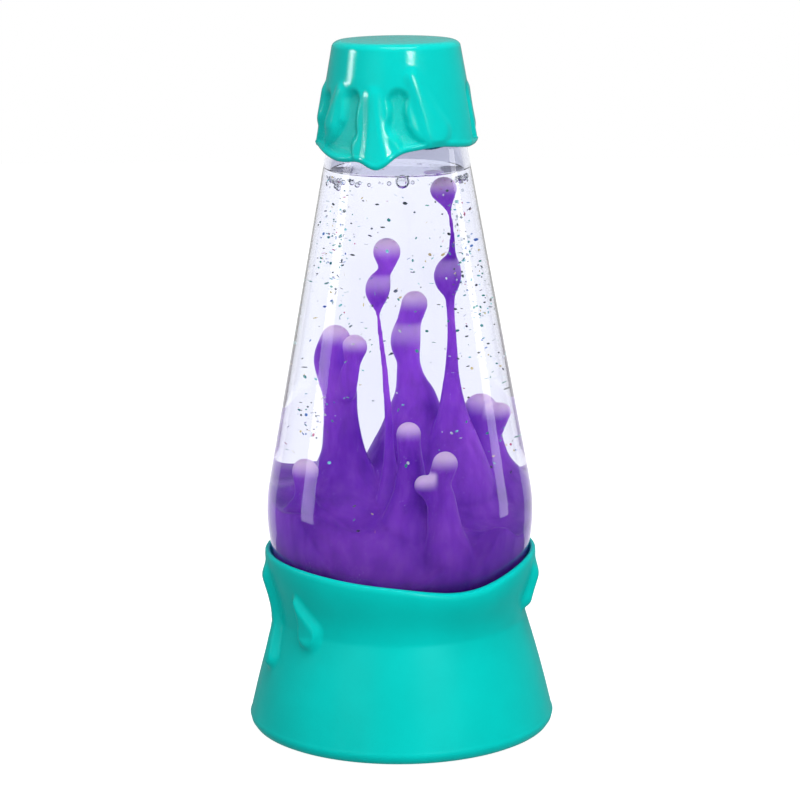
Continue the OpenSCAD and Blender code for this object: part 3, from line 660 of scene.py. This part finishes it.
# %% The paths of the columns
# x, y, height above the bottle's foot, sideways radius, upright radius
columns = {
    "left": [(-16.3, 2, 46.7, 12.82, 14), (-16.1, 2, 58.7, 8.25, 9.9), (-16.2, 2, 65.1, 6.47, 7.8),
             (-16.6, 2, 73.0, 5.47, 6.5), (-16.9, 2, 80.1, 5.02, 6.1), (-17.1, 2, 86.4, 5.13, 6.2),
             (-18.1, 2, 92.0, 5.47, 6.3), (-19.9, 2, 98.3, 4.69, 5.2), (-17.9, 2, 105.4, 4.36, 5.1)],
    "left fork": [(-15.6, -2, 87.9, 3.3, 4.0), (-14.6, -4, 93.5, 2.84, 3.3),
             (-13.6, -5, 99.2, 2.72, 3.0), (-12.9, -5, 104.1, 3.92, 4.5)],
    "string": [(-2.9, -10, 49.8, 4.53, 4.5), (-2.9, -10, 61.7, 2.48, 3.0),
             (-3.1, -10, 68.7, 1.72, 2.1), (-3.1, -10, 75.7, 1.4, 1.7), (-3.3, -10, 82.7, 1.29, 1.5),
             (-3.8, -10, 89.7, 1.13, 1.3), (-4.2, -10, 96.7, 1.02, 1.2), (-4.9, -10, 103.7, 0.91, 1.0),
             (-5.6, -10, 110.6, 0.85, 1.0), (-6.1, -10, 117.0, 0.91, 1.1),
             (-6.2, -10, 124.6, 3.84, 4.3), (-4.5, -10, 129.8, 2.34, 2.6),
             (-3.5, -10, 132.8, 2.55, 2.8), (-3.3, -10, 137.8, 4.36, 5.0)],
    "middle": [(4.3, 13, 49.7, 17.34, 18), (4.3, 13, 59.8, 13.31, 15), (4.3, 13, 67.0, 10.55, 11.5),
             (4.3, 13, 74.1, 8.25, 9.5), (4.4, 13, 81.4, 6.05, 7.5), (3.8, 13, 85.6, 4.78, 5.6),
             (3.1, 13, 89.9, 3.85, 4.6), (2.6, 13, 95.6, 3.27, 4.0), (1.9, 13, 102.4, 4.21, 5.4),
             (2.9, 13, 109.1, 3.4, 4.4), (4.4, 13, 115.4, 3.64, 4.8)],
    "tall": [(15.5, 5, 49.7, 12.38, 13), (15.5, 5, 59.8, 9.46, 11), (15.4, 5, 68.4, 6.87, 8.2),
             (15.2, 5, 75.6, 4.85, 5.8), (15.1, 5, 81.3, 3.72, 4.5), (15.0, 5, 86.2, 2.93, 3.5),
             (15.0, 5, 93.2, 2.15, 2.5), (15.1, 5, 100.4, 1.7, 2.0), (15.0, 5, 107.4, 1.36, 1.6),
             (14.7, 5, 114.4, 1.3, 1.5), (14.5, 5, 119.6, 1.7, 1.9), (13.9, 5, 126.7, 3.97, 4.7),
             (15.0, 5, 133.4, 1.48, 1.7), (15.2, 5, 138.8, 0.91, 1.0), (15.0, 5, 144.0, 0.74, 0.9),
             (14.2, 5, 149.4, 0.91, 1.0), (12.7, 5, 156.7, 3.88, 4.6)],
    "lobe": [(26.2, 15, 43.7, 10.47, 11), (24.6, 16, 54.4, 6.08, 7.2), (23.7, 16, 61.7, 4.69, 5.9),
             (22.8, 16, 68.9, 4.23, 5.6), (21.5, 16, 77.5, 4.12, 5.3)],
    "lobe fork": [(24.5, 15, 68.2, 3.27, 4.2), (26.3, 15, 75.0, 3.28, 4.3)],
    "front": [(3.5, -20, 43.6, 9.99, 10), (3.5, -20, 53.4, 6.3, 7.0), (3.5, -20, 60.4, 4.93, 5.6),
             (3.4, -20, 67.3, 3.98, 4.4), (3.0, -20, 72.2, 3.77, 4.2), (2.9, -20, 76.9, 3.97, 4.4)],
    "fork": [(15.5, -27, 26.2, 12.37, 12), (15.2, -29, 35.0, 9.26, 9.4), (14.7, -29, 41.8, 6.49, 6.5),
             (14.0, -29, 48.5, 5.36, 5.5), (13.3, -29, 55.3, 4.73, 5.0), (12.7, -29, 60.9, 3.9, 4.2),
             (14.8, -29, 68.1, 4.31, 4.6)],
    "fork low": [(11.7, -30.5, 55.3, 3.49, 3.6), (9.8, -31, 58.5, 2.97, 3.2),
             (7.8, -31, 61.1, 3.38, 3.7)],
    "short": [(-30.9, -14, 35.1, 11.73, 11), (-30.8, -15.5, 44.8, 8.08, 7.4),
             (-30.2, -16, 50.8, 4.67, 4.6), (-30.2, -16, 55.8, 3.5, 3.5),
             (-30.0, -16, 62.8, 4.98, 4.8)],
}


def along(points, t):
    """A point on a smooth curve through the list, at t from 0 to its last index."""
    i = min(int(t), len(points) - 2)
    u = t - i
    p = [points[max(i - 1, 0)], points[i], points[i + 1], points[min(i + 2, len(points) - 1)]]
    return [
        0.5 * (2 * b + (c - a) * u + (2 * a - 5 * b + 4 * c - d) * u * u + (3 * b - a - 3 * c + d) * u ** 3)
        for a, b, c, d in zip(*p)
    ]


print(len(columns), "columns")

# %% String balls along the columns
bm = bmesh.new()
balls = 0
for path in columns.values():
    t, end = 0.0, len(path) - 1.0
    while t < end + 1e-6:
        x, y, h, side, up = along(path, min(t, end))
        side, up = max(side, 0.6), max(up, 0.7)
        place = Matrix.Translation((x * MM, y * MM, (bottle_z + h) * MM))
        size = Matrix.Diagonal((side * MM, side * MM, up * MM, 1))
        bmesh.ops.create_icosphere(bm, subdivisions=3 if up > 3 else 2, radius=1, matrix=place @ size)
        balls += 1
        here = path[min(int(t), len(path) - 2)]
        ahead = path[min(int(t), len(path) - 2) + 1]
        t += max(0.22 * up, 0.35) / math.dist(here[:3], ahead[:3])
print("balls strung:", balls)

# %% [markdown]
# The pool is a spun body that fills the bottle's bottom, a hair inside the wall. Its
# upper face starts flat and is then raised by a level for each place: a gentle tilt, a
# rise at the left wall and a swelling under each column, where wax is being drawn up.

# %% Spin the pool and raise its surface
swellings = [(-15, 2, 15, 13), (3, 13, 15, 14), (14, 5, 12, 12), (22, 16, 10, 12), (3, -18, 7, 10),
             (14, -29, 5, 9), (-28, -15, 4, 9), (-44, 0, 2.5, 11), (34, 22, 5, 14), (2, -34, 5, 8),
             (15, -40, 10, 10), (33, -26, 6, 8), (-34, -26, 3, 8)]


def pool_level(x, y):
    tilt = bottle_z + 46 - 5 * x / 45 + 6 * y / 45
    tilt -= 17 * ease((-y - 25) / 18)  # the wax runs down to the front, below the rim
    folds = 1.3 * math.sin(x / 5.3 + y / 9) * math.sin(y / 7.1 - x / 12)
    rise = sum((s[2] * math.exp(-((x - s[0]) ** 2 + (y - s[1]) ** 2) / s[3] ** 2)) ** 3 for s in swellings)
    return tilt + folds + rise ** (1 / 3)


skin = wall + 0.3
pool_rows = [(0.0, 37.3), (15.0, 37.3), (inside_r(37.6, wall) - 4.0, 37.3),
             (inside_r(38.4, wall) - 1.4, 38.2)]
SIDE = 26
pool_rows += [(inside_r(mix(39.8, 78, i / SIDE), skin), mix(39.8, 78, i / SIDE)) for i in range(SIDE + 1)]
pool_rows += [(r, 78) for r in steps(inside_r(78, skin), 0.0, 1.2)]
pool = spin_outline(pool_rows, 180, closed=False)
row_of = pool.verts.layers.int["row"]
for v in pool.verts:
    angle, r = angle_of(v), math.hypot(v.co.x, v.co.y) / MM
    if 4 <= v[row_of] < 5 + SIDE:
        lip = pool_level(43 * math.cos(math.radians(angle)), 43 * math.sin(math.radians(angle)))
        z = mix(39.8, lip, (v[row_of] - 4) / SIDE)
        put(v, angle, inside_r(z, skin), z)
    elif v[row_of] >= 5 + SIDE:
        lip = pool_level(43 * math.cos(math.radians(angle)), 43 * math.sin(math.radians(angle)))
        v.co.x *= min(1.0, inside_r(lip, skin) / inside_r(78, skin))
        v.co.y *= min(1.0, inside_r(lip, skin) / inside_r(78, skin))
        v.co.z = pool_level(v.co.x / MM, v.co.y / MM) * MM
bmesh.ops.recalc_face_normals(pool, faces=pool.faces)
pool_mesh = bpy.data.meshes.new("pool")
pool.to_mesh(pool_mesh)
pool.free()
bm.from_mesh(pool_mesh)
bpy.data.meshes.remove(pool_mesh)
print("pool at the left wall:", round(pool_level(-43, 0), 1), "mm, front:", round(pool_level(0, -43), 1))

# %% Melt the balls and the pool together
def evaluated(bm, *modifiers):
    """Runs modifiers on a mesh and returns the result as a new bmesh."""
    mesh = bpy.data.meshes.new("working")
    bm.to_mesh(mesh)
    bm.free()
    holder = bpy.data.objects.new("working", mesh)
    bpy.context.scene.collection.objects.link(holder)
    for kind, settings in modifiers:
        modifier = holder.modifiers.new(kind, kind)
        for key, value in settings.items():
            setattr(modifier, key, value)
    graph = bpy.context.evaluated_depsgraph_get()
    result = bmesh.new()
    result.from_object(holder, graph)
    bpy.data.objects.remove(holder)
    bpy.data.meshes.remove(mesh)
    return result


bm = evaluated(bm, ("REMESH", {"mode": "VOXEL", "voxel_size": 0.00048}))
print("melted skin:", len(bm.faces), "faces")
for _ in range(6):
    bmesh.ops.smooth_vert(bm, verts=bm.verts, factor=0.5, use_axis_x=True, use_axis_y=True, use_axis_z=True)
bm = evaluated(bm, ("DECIMATE", {"ratio": min(1.0, 82000 / max(1, len(bm.faces)))}))
print("thinned skin:", len(bm.faces), "faces")

# %% [markdown]
# The wax gets a faint painted glow. The round heads carry a painted highlight, pale lavender over their tops,
# and the pool is a deep violet with brighter and darker veins drawn upwards by the flow, darkened lower down
# as painted shade. The painted highlights are stored in the mesh, because only the mesh knows where a column
# ends.

# %% Paint highlights on the heads
# Painted highlight: the top of each head is marked for pale lavender, and the last number is how strong the
# highlight is.
heads = [(*path[-1], 0.92) for path in columns.values()]
heads += [(*columns["string"][10], 0.4), (*columns["tall"][11], 0.3), (*columns["middle"][8], 0.45)]
painted_highlight = bm.verts.layers.float.new("painted_highlight")
keep_in = wall + 0.26
for v in bm.verts:
    x, y, z = (c / MM for c in v.co)
    best = 0.0
    for hx, hy, hh, side, up, shine in heads:
        away = math.dist((x, y), (hx, hy)) / side
        rise = (z - bottle_z - hh) / up
        if away < 1.6 and -1.2 < rise < 1.4:
            best = max(best, shine * ease((rise + 0.6) / 1.4) * ease((1.6 - away) / 0.6)
                       * ease((1.4 - rise) / 0.5))
    v[painted_highlight] = best
    limit = inside_r(z, keep_in) if z > 40 else 99
    r = math.hypot(x, y)
    if r > limit:
        v.co.x *= limit / r
        v.co.y *= limit / r


# %% Violet wax
def violet_wax():
    finish = Finish("violet_wax", 0.34, 0.25)
    veins = finish.noise(210, 5, stretch=(1, 1, 0.22), roughness=0.62)
    broad = finish.noise(34, 3, stretch=(1, 1, 0.8))
    body = finish.ramp(veins, [(0.28, srgb(88, 20, 166)), (0.5, srgb(144, 56, 222)),
                               (0.72, srgb(180, 100, 242))])
    depth = finish.ramp(broad, [(0.34, srgb(82, 16, 164)), (0.6, srgb(180, 98, 240))])
    colour = finish.blend(0.5, body, depth)
    # Painted shade: the wax is darkened towards deep violet below 120 mm, fully below 55 mm.
    height = finish.spread(finish.axis("Z"), 0.0, 1.0, 0.055, 0.12)
    colour = finish.blend(height, finish.blend(0.66, colour, srgb(72, 14, 146)), colour)
    # Painted highlight: the marked head tops are blended towards pale lavender.
    mark = finish.add("ShaderNodeAttribute")
    mark.attribute_name = "painted_highlight"
    pale = finish.maths("MULTIPLY", mark.outputs["Fac"], 0.95)
    colour = finish.blend(pale, colour, srgb(250, 222, 255))
    # Pale specks stand for glitter caught in the wax, painted as bright glints.
    speckle = finish.add("ShaderNodeTexVoronoi", Vector=finish.place.outputs["Object"])
    speckle.inputs["Scale"].default_value = 900
    dots = finish.spread(speckle.outputs["Distance"], 1.0, 0.0, 0.05, 0.16)
    rare = finish.spread(finish.noise(240, 2), 0.0, 0.5, 0.52, 0.66)
    colour = finish.blend(finish.maths("MULTIPLY", dots, rare), colour, srgb(232, 214, 255))
    finish.set("Base Color", colour)
    # Painted glow: the wax shines faintly in its own colour, though nothing inside it is lit.
    finish.set("Emission Color", colour)
    finish.set("Emission Strength", 0.1)
    finish.set("Roughness", finish.spread(finish.noise(90, 4), 0.26, 0.42))
    finish.set("Subsurface Weight", 0.35)
    finish.set("Subsurface Scale", 0.006)
    finish.set("Subsurface Radius", (0.6, 0.3, 1.0))
    finish.set("IOR", 1.22)
    finish.set("Coat Weight", 0.03)
    finish.set("Coat Roughness", 0.15)
    finish.bump(finish.noise(260, 4, stretch=(1, 1, 0.3)), 0.14, 0.0006)
    return finish.material


make_piece("violet_wax", bm, "bottle", [violet_wax()], ["lava"])

# %% [markdown]
# ## Glitter
#
# Hundreds of tiny hexagons of cut foil hang in the water, thickest along the walls. One
# flake is a six-sided circle pushed out to a thin plate. Every flake is a copy turned
# its own way, with a tone from 0 to 1 that the finish turns into foil colours.

# %% Scatter the flakes
random.seed(7)
# angle, height, spread of angle, spread of height, nearest and furthest depth, count
drifts = [
    (212, 172, 13, 12, 1, 9, 95), (200, 176, 16, 12, 1, 7, 55), (328, 170, 14, 15, 1, 8, 90),
    (344, 166, 14, 14, 1, 8, 60), (204, 111, 9, 6, 3, 13, 46), (60, 150, 30, 26, 2, 12, 60),
    (120, 150, 30, 26, 2, 12, 55), (20, 138, 20, 16, 4, 16, 50), (310, 132, 22, 18, 2, 12, 22),
    (258, 168, 26, 16, 2, 14, 24), (285, 178, 20, 8, 2, 8, 14), (240, 136, 18, 20, 2, 10, 12),
    (90, 118, 60, 10, 2, 10, 30), (350, 100, 12, 6, 2, 6, 14),
]
on_wax = [
    (-0.3, -35.2, 120.0), (1.3, -35.0, 121.7), (17.2, -32.8, 111.4), (20.1, -31.2, 109.3),
    (18.9, -31.8, 111.8), (-15.0, -38.5, 87.8), (-15.1, -39.2, 83.2), (-9.1, -40.5, 85.6),
    (-13.8, -40.0, 79.7), (-8.2, -41.5, 79.7), (2.8, -38.5, 102.5), (2.1, -38.8, 101.6),
    (28.9, -23.5, 109.1), (30.9, -23.5, 101.1), (31.2, -23.8, 98.7), (30.2, -25.2, 97.7),
    (-21.9, -28.8, 115.0), (6.0, -31.2, 139.3), (9.3, -29.2, 145.7),
]
spots = []
for angle, height, da, dz, near, far, count in drifts:
    for _ in range(count):
        z = min(max(random.gauss(height, dz), 90), 193.5)
        a = math.radians(random.gauss(angle, da))
        r = inside_r(z, wall) - random.uniform(near, far)
        spots.append(((r * math.cos(a), r * math.sin(a), z), random.choice((0.28, 0.36, 0.42, 0.54, 0.7))))
spots += [(place, random.uniform(0.5, 0.75)) for place in on_wax]


def clear_of_wax(place):
    """True where no column or pool fills the spot."""
    x, y, z = place
    if z < pool_level(x, y) + 1.5:
        return False
    return all(
        math.dist((x, y), (c[0], c[1])) > c[3] + 1.0 or abs(z - bottle_z - c[2]) > c[4] + 3.5
        for path in columns.values() for c in path
    )


FOIL_T = 0.00008
bm = bmesh.new()
tone = bm.verts.layers.float.new("tone")
made = 0
for place, radius in spots:
    if place not in on_wax and not clear_of_wax(place):
        continue
    spin = random.uniform(0, math.tau)
    axis = Vector([random.gauss(0, 1) for _ in range(3)])
    turn = Matrix.Rotation(spin, 4, axis)
    flat = Matrix.Diagonal((1, random.uniform(0.75, 1.0), 1, 1))
    spot = Matrix.Translation(Vector(place) * MM)
    flake = bmesh.ops.create_circle(bm, cap_ends=True, segments=6, radius=radius * MM,
                                    matrix=spot @ turn @ flat)["verts"]
    face = flake[0].link_faces[0]
    out = bmesh.ops.extrude_face_region(bm, geom=[face])["geom"]
    lifted = [g for g in out if isinstance(g, bmesh.types.BMVert)]
    bmesh.ops.translate(bm, verts=lifted, vec=face.normal * FOIL_T)
    hue = random.random()
    for v in flake + lifted:
        v[tone] = hue
    made += 1
bmesh.ops.recalc_face_normals(bm, faces=bm.faces)
print("flakes:", made)


# %% Foil finish
def foil():
    finish = Finish("glitter_foil", 0.22, 0.6)
    mark = finish.add("ShaderNodeAttribute")
    mark.attribute_name = "tone"
    colours = finish.ramp(mark.outputs["Fac"], [
        (0.0, srgb(44, 48, 58)), (0.16, srgb(90, 96, 112)), (0.26, srgb(0, 150, 146)),
        (0.42, srgb(20, 178, 150)), (0.52, srgb(40, 120, 210)), (0.6, srgb(244, 250, 255)),
        (0.76, srgb(130, 226, 226)), (0.87, srgb(250, 226, 150)), (0.95, srgb(220, 60, 130)),
    ], "CONSTANT")
    shift = finish.ramp(finish.noise(1400, 2), [(0.35, srgb(30, 60, 80)), (0.65, srgb(190, 230, 225))])
    finish.set("Base Color", finish.blend(0.22, colours, shift))
    finish.set("Metallic", 0.3)
    # Painted glow: each flake shines faintly in its own foil colour, though no lamp lights it from within.
    finish.set("Emission Color", colours)
    finish.set("Emission Strength", 0.15)
    finish.set("Roughness", finish.spread(finish.noise(900, 2), 0.15, 0.35))
    return finish.material


flakes = make_piece("glitter_flakes", bm, "bottle", [foil()], ["glitter"])
for face in flakes.data.polygons:
    face.use_smooth = False

# %% [markdown]
# ## Bubbles
#
# Shaken water keeps a few bubbles of air. They gather at the water's edge, small ones in
# a froth at the sides and one large one at the front. A bubble is a sphere whose inside
# is lighter than the water round it, so its index of refraction is below one.

# %% Air finish
def air_finish():
    material = bpy.data.materials.new("air_bubble")
    material.use_nodes = True
    tree = material.node_tree
    tree.nodes.remove(tree.nodes["Principled BSDF"])
    glass = tree.nodes.new("ShaderNodeBsdfGlass")
    glass.inputs["IOR"].default_value = 0.752
    glass.inputs["Roughness"].default_value = 0.0
    # Painted shade: the bubble's colour darkens from near white at its middle to grey at its edge.
    weight = tree.nodes.new("ShaderNodeLayerWeight")
    weight.inputs["Blend"].default_value = 0.25
    ramp = tree.nodes.new("ShaderNodeValToRGB")
    ramp.color_ramp.elements[0].color = (0.97, 0.98, 0.99, 1)
    ramp.color_ramp.elements[0].position = 0.3
    ramp.color_ramp.elements[1].color = (0.45, 0.48, 0.55, 1)
    tree.links.new(weight.outputs["Facing"], ramp.inputs["Fac"])
    tree.links.new(ramp.outputs["Color"], glass.inputs["Color"])
    tree.links.new(glass.outputs["BSDF"], tree.nodes["Material Output"].inputs["Surface"])
    return material


# %% Blow the bubbles
random.seed(21)
bubbles = [(1.7, -20.4, 194.9, 2.35), (-2.6, -20.8, 194.4, 0.8), (5.0, -20.3, 194.6, 0.7)]
for angle, da, count, sink in ((206, 9, 30, 1.3), (338, 7, 24, 0.7), (245, 10, 7, 0.8), (80, 40, 14, 1.0)):
    for _ in range(count):
        a = math.radians(random.gauss(angle, da))
        size = random.choice((0.3, 0.4, 0.5, 0.7, 0.95))
        z = 195.4 - size - abs(random.gauss(0, sink))
        r = inside_r(z, wall) - size - random.uniform(0.3, 1.6)
        bubbles.append((r * math.cos(a), r * math.sin(a), z, size))
bm = bmesh.new()
for x, y, z, size in bubbles:
    spot = Matrix.Translation((x * MM, y * MM, z * MM))
    bmesh.ops.create_icosphere(bm, subdivisions=4 if size > 2 else 2, radius=size * MM, matrix=spot)
make_piece("air_bubbles", bm, "bottle", [air_finish()], ())
print("bubbles:", len(bubbles))

# %% [markdown]
# ## Finishes of the inner parts
#
# The parts inside the base and under the cap keep their exact shapes from the frame.
# They still show when the bottle is lifted out, the cap is off or the lamp is turned
# over, so each gets the finish of its own material.

# %% Plastics, rubber and foam
grey_plastic = moulded("grey_inner_plastic", srgb(196, 200, 204), srgb(216, 219, 222), 0.5, 0.25).material
cover_plastic = moulded("turquoise_cover", srgb(0, 160, 154), srgb(0, 176, 169), 0.5, 0.35, 1600).material
tray_plastic = moulded("charcoal_tray", srgb(60, 63, 68), srgb(76, 79, 84), 0.55, 0.3, 1900).material
closure_plastic = moulded("white_closure", srgb(228, 228, 224), srgb(242, 242, 239), 0.42, 0.2).material
soft_rubber = moulded("soft_rubber", srgb(40, 41, 44), srgb(58, 59, 62), 0.78, 0.6, 3400, 0.3).material
liner_foam = moulded("liner_foam", srgb(224, 216, 196), srgb(238, 232, 216), 0.85, 0.8, 4200, 0.2).material
switch_black = moulded("switch_black", srgb(24, 25, 27), srgb(36, 37, 40), 0.4, 0.2).material
switch_white = moulded("switch_white", srgb(222, 222, 218), srgb(240, 240, 237), 0.36, 0.15).material
red_wire = moulded("red_wire", srgb(150, 14, 16), srgb(188, 24, 24), 0.34, 0.15).material
black_wire = moulded("black_wire", srgb(18, 18, 20), srgb(34, 34, 37), 0.34, 0.15).material
print("plastics ready")


# %% Metals and lamp parts
def metal(name, tone, roughness, scratch):
    finish = Finish(name, roughness)
    finish.set("Metallic", 1.0)
    brushed = finish.noise(900, 4, stretch=(1, 0.15, 1))
    darker = tuple(c * 0.82 for c in tone[:3]) + (1,)
    finish.set("Base Color", finish.ramp(brushed, [(0.3, darker), (0.7, tone)]))
    finish.set("Roughness", finish.spread(brushed, roughness - 0.08, roughness + 0.12))
    finish.bump(brushed, scratch, 0.00006)
    return finish.material


def board():
    """Green lacquer with paler copper tracks under it."""
    finish = Finish("lamp_board", 0.34)
    tracks = finish.add("ShaderNodeTexBrick", Vector=finish.place.outputs["Object"])
    tracks.inputs["Scale"].default_value = 160
    tracks.inputs["Mortar Size"].default_value = 0.04
    tracks.inputs["Color1"].default_value = srgb(12, 84, 44)
    tracks.inputs["Color2"].default_value = srgb(16, 96, 50)
    tracks.inputs["Mortar"].default_value = srgb(60, 140, 84)
    stain = finish.spread(finish.noise(300, 3), 0, 0.3)
    finish.set("Base Color", finish.blend(stain, tracks.outputs["Color"], srgb(10, 70, 36)))
    finish.bump(finish.noise(1200, 2), 0.1, 0.00008)
    return finish.material


def cell_wrap():
    """A printed sleeve in two plain bands, dark with a copper end."""
    finish = Finish("cell_wrap", 0.3)
    finish.set("Coat Weight", 0.5)
    band = finish.ramp(finish.spread(finish.axis("X"), 0, 1, -0.022, 0.025),
                       [(0.0, srgb(28, 30, 34)), (0.68, srgb(190, 120, 54)),
                        (0.965, srgb(196, 198, 202))], "CONSTANT")
    rub = finish.spread(finish.noise(400, 4), 0, 0.18)
    finish.set("Base Color", finish.blend(rub, band, srgb(120, 110, 100)))
    finish.set("Metallic", finish.spread(finish.axis("X"), 0.1, 1.0, 0.0225, 0.0226))
    finish.set("Roughness", finish.spread(finish.noise(260, 4), 0.24, 0.38))
    return finish.material


def milky(name, tone, through, roughness):
    finish = Finish(name, roughness)
    finish.set("IOR", 1.49)
    darker = tuple(c * 0.95 for c in tone[:3]) + (1,)
    finish.set("Base Color", finish.ramp(finish.noise(500, 3), [(0.3, darker), (0.7, tone)]))
    finish.set("Transmission Weight", through)
    finish.bump(finish.noise(2400, 2), 0.15, 0.00008)
    return finish.material


steel = metal("bright_steel", srgb(206, 208, 212), 0.26, 0.15)
mirror_coat = metal("mirror_coat", srgb(226, 228, 232), 0.14, 0.05)
lamp_board = board()
wrap = cell_wrap()
frosted = milky("frosted_window", srgb(236, 240, 244), 0.7, 0.38)
lamp_dome = milky("lamp_dome", srgb(244, 244, 240), 0.55, 0.2)
print("metals and lamp parts ready")

# %% Give each inner part its finish
inner = {
    "bottle_cradle": grey_plastic, "seat_pad": soft_rubber, "light_lens": frosted,
    "reflector": mirror_coat, "led_board": lamp_board, "leds": lamp_dome,
    "bottom_cover": cover_plastic, "cover_screws": steel, "battery_tray": tray_plastic,
    "batteries": wrap, "battery_springs": steel, "battery_contacts": steel,
    "battery_door": cover_plastic, "switch_body": switch_black, "switch_knob": switch_white,
    "foot_ring": soft_rubber, "wire_red": red_wire, "wire_black": black_wire,
    "cap_liner": liner_foam, "screw_cap": closure_plastic, "cap_socket": grey_plastic,
}
for name, finish in inner.items():
    part = nodes[name]
    if not part.material_slots:
        part.data.materials.append(finish)
    for place in part.material_slots:
        place.material = finish
print("inner parts finished:", len(inner))

# %% [markdown]
# ## Studio
#
# The lamp stands on a plain white table. Glass and plastic want different lights, so
# most lights here have one job. Broad ones model the forms and stay out of reflections.
# Two tall strips draw the upright highlights in the bottle, and a large white panel
# behind it keeps its sides pale. Two small bright ones put crisp sparkles on the base
# and cap. Light linking limits the strips and the panel to the bottle, and the sparkles
# to the base and cap. The overhead light shines on everything.
#
# The surroundings are plain white where the eye looks at them, straight or through the
# bottle, and dimmer as a source of light, so the turquoise keeps its depth.

# %% Table
bm = bmesh.new()
bmesh.ops.create_grid(bm, x_segments=2, y_segments=2, size=1.6)
table_mesh = bpy.data.meshes.new("table")
bm.to_mesh(table_mesh)
bm.free()
table = bpy.data.objects.new("table", table_mesh)
bpy.context.scene.collection.objects.link(table)
cloth = Finish("white_table", 0.9, 0.1)
weave = [(0.3, (0.5, 0.5, 0.505, 1)), (0.7, (0.52, 0.52, 0.522, 1))]
cloth.set("Base Color", cloth.ramp(cloth.noise(12, 3), weave))
cloth.set("Emission Color", (1, 1, 1, 1))
cloth.set("Emission Strength", 0.92)
table_mesh.materials.append(cloth.material)
table.visible_diffuse = False
table.visible_glossy = False
print("table placed")


# %% Lights
def softbox(name, centre, aim, width, height, power):
    light = bpy.data.lights.new(name, "AREA")
    light.shape = "RECTANGLE"
    light.size, light.size_y = width, height
    light.energy = power
    lamp = bpy.data.objects.new(name, light)
    bpy.context.scene.collection.objects.link(lamp)
    lamp.location = centre
    lamp.rotation_euler = (Vector(aim) - Vector(centre)).to_track_quat("-Z", "Y").to_euler()
    print(name, "at", centre)
    return lamp


def round_about(angle, distance, height):
    """A place this many degrees to the right of the camera's side of the lamp."""
    a = math.radians(angle - 90)
    return (distance * math.cos(a), distance * math.sin(a), height)


beside_bottle = bpy.data.collections.new("lit_by_strips")
beside_bottle.objects.link(bottle_wall)
for name, angle, width, power in (("left_strip", -84, 0.2, 2.8), ("right_strip", 98, 0.16, 2.0)):
    strip = softbox(name, round_about(angle, 0.75, 0.3), (0, 0, 0.16), width, 0.7, power)
    strip.visible_transmission = False
    strip.visible_diffuse = False
    strip.light_linking.receiver_collection = beside_bottle
for name, angle, power in (("front_right", 32, 5.6), ("front_left", -38, 2.6), ("rear", 175, 2.0)):
    fill = softbox(name, round_about(angle, 1.0, 0.4), (0, 0, 0.1), 0.6, 0.8, power)
    fill.visible_glossy = fill.visible_camera = fill.visible_transmission = False
softbox("overhead", (0.05, -0.2, 0.95), (0, 0, 0.12), 0.5, 0.5, 4.4)
back = softbox("back_panel", (0, 1.4, 0.4), (0, 0, 0.2), 3.0, 2.0, 17)
back.visible_camera = back.visible_transmission = back.visible_diffuse = False
back.light_linking.receiver_collection = beside_bottle
shells = bpy.data.collections.new("lit_by_sparkle")
shells.objects.link(base_body)
shells.objects.link(cap_body)
for name, angle, height, power in (("sparkle_left", -84, 0.42, 2.4), ("sparkle_right", 26, 0.5, 3.4)):
    sparkle = softbox(name, round_about(angle, 0.8, height), (0, 0, 0.2), 0.07, 0.14, power)
    sparkle.visible_diffuse = False
    sparkle.visible_transmission = False
    sparkle.light_linking.receiver_collection = shells

# %% Surroundings
world = bpy.data.worlds.new("white_studio")
bpy.context.scene.world = world
world.use_nodes = True
tree = world.node_tree
tree.nodes.clear()
output = tree.nodes.new("ShaderNodeOutputWorld")
background = tree.nodes.new("ShaderNodeBackground")
background.inputs["Color"].default_value = (1, 1, 1, 1)
path = tree.nodes.new("ShaderNodeLightPath")
seen = tree.nodes.new("ShaderNodeMath")
seen.operation = "MAXIMUM"
tree.links.new(path.outputs["Is Camera Ray"], seen.inputs[0])
tree.links.new(path.outputs["Is Transmission Ray"], seen.inputs[1])
strength = tree.nodes.new("ShaderNodeMapRange")
strength.inputs["To Min"].default_value = 0.3
strength.inputs["To Max"].default_value = 1.0
tree.links.new(seen.outputs[0], strength.inputs["Value"])
tree.links.new(strength.outputs["Result"], background.inputs["Strength"])
tree.links.new(background.outputs["Background"], output.inputs["Surface"])
bpy.context.scene.view_settings.view_transform = "Standard"
print("surroundings ready")

# %% [markdown]
# ## End
#
# The finer surfaces must fill the same box as the frame.

# %% End of the scene
print("scene built")
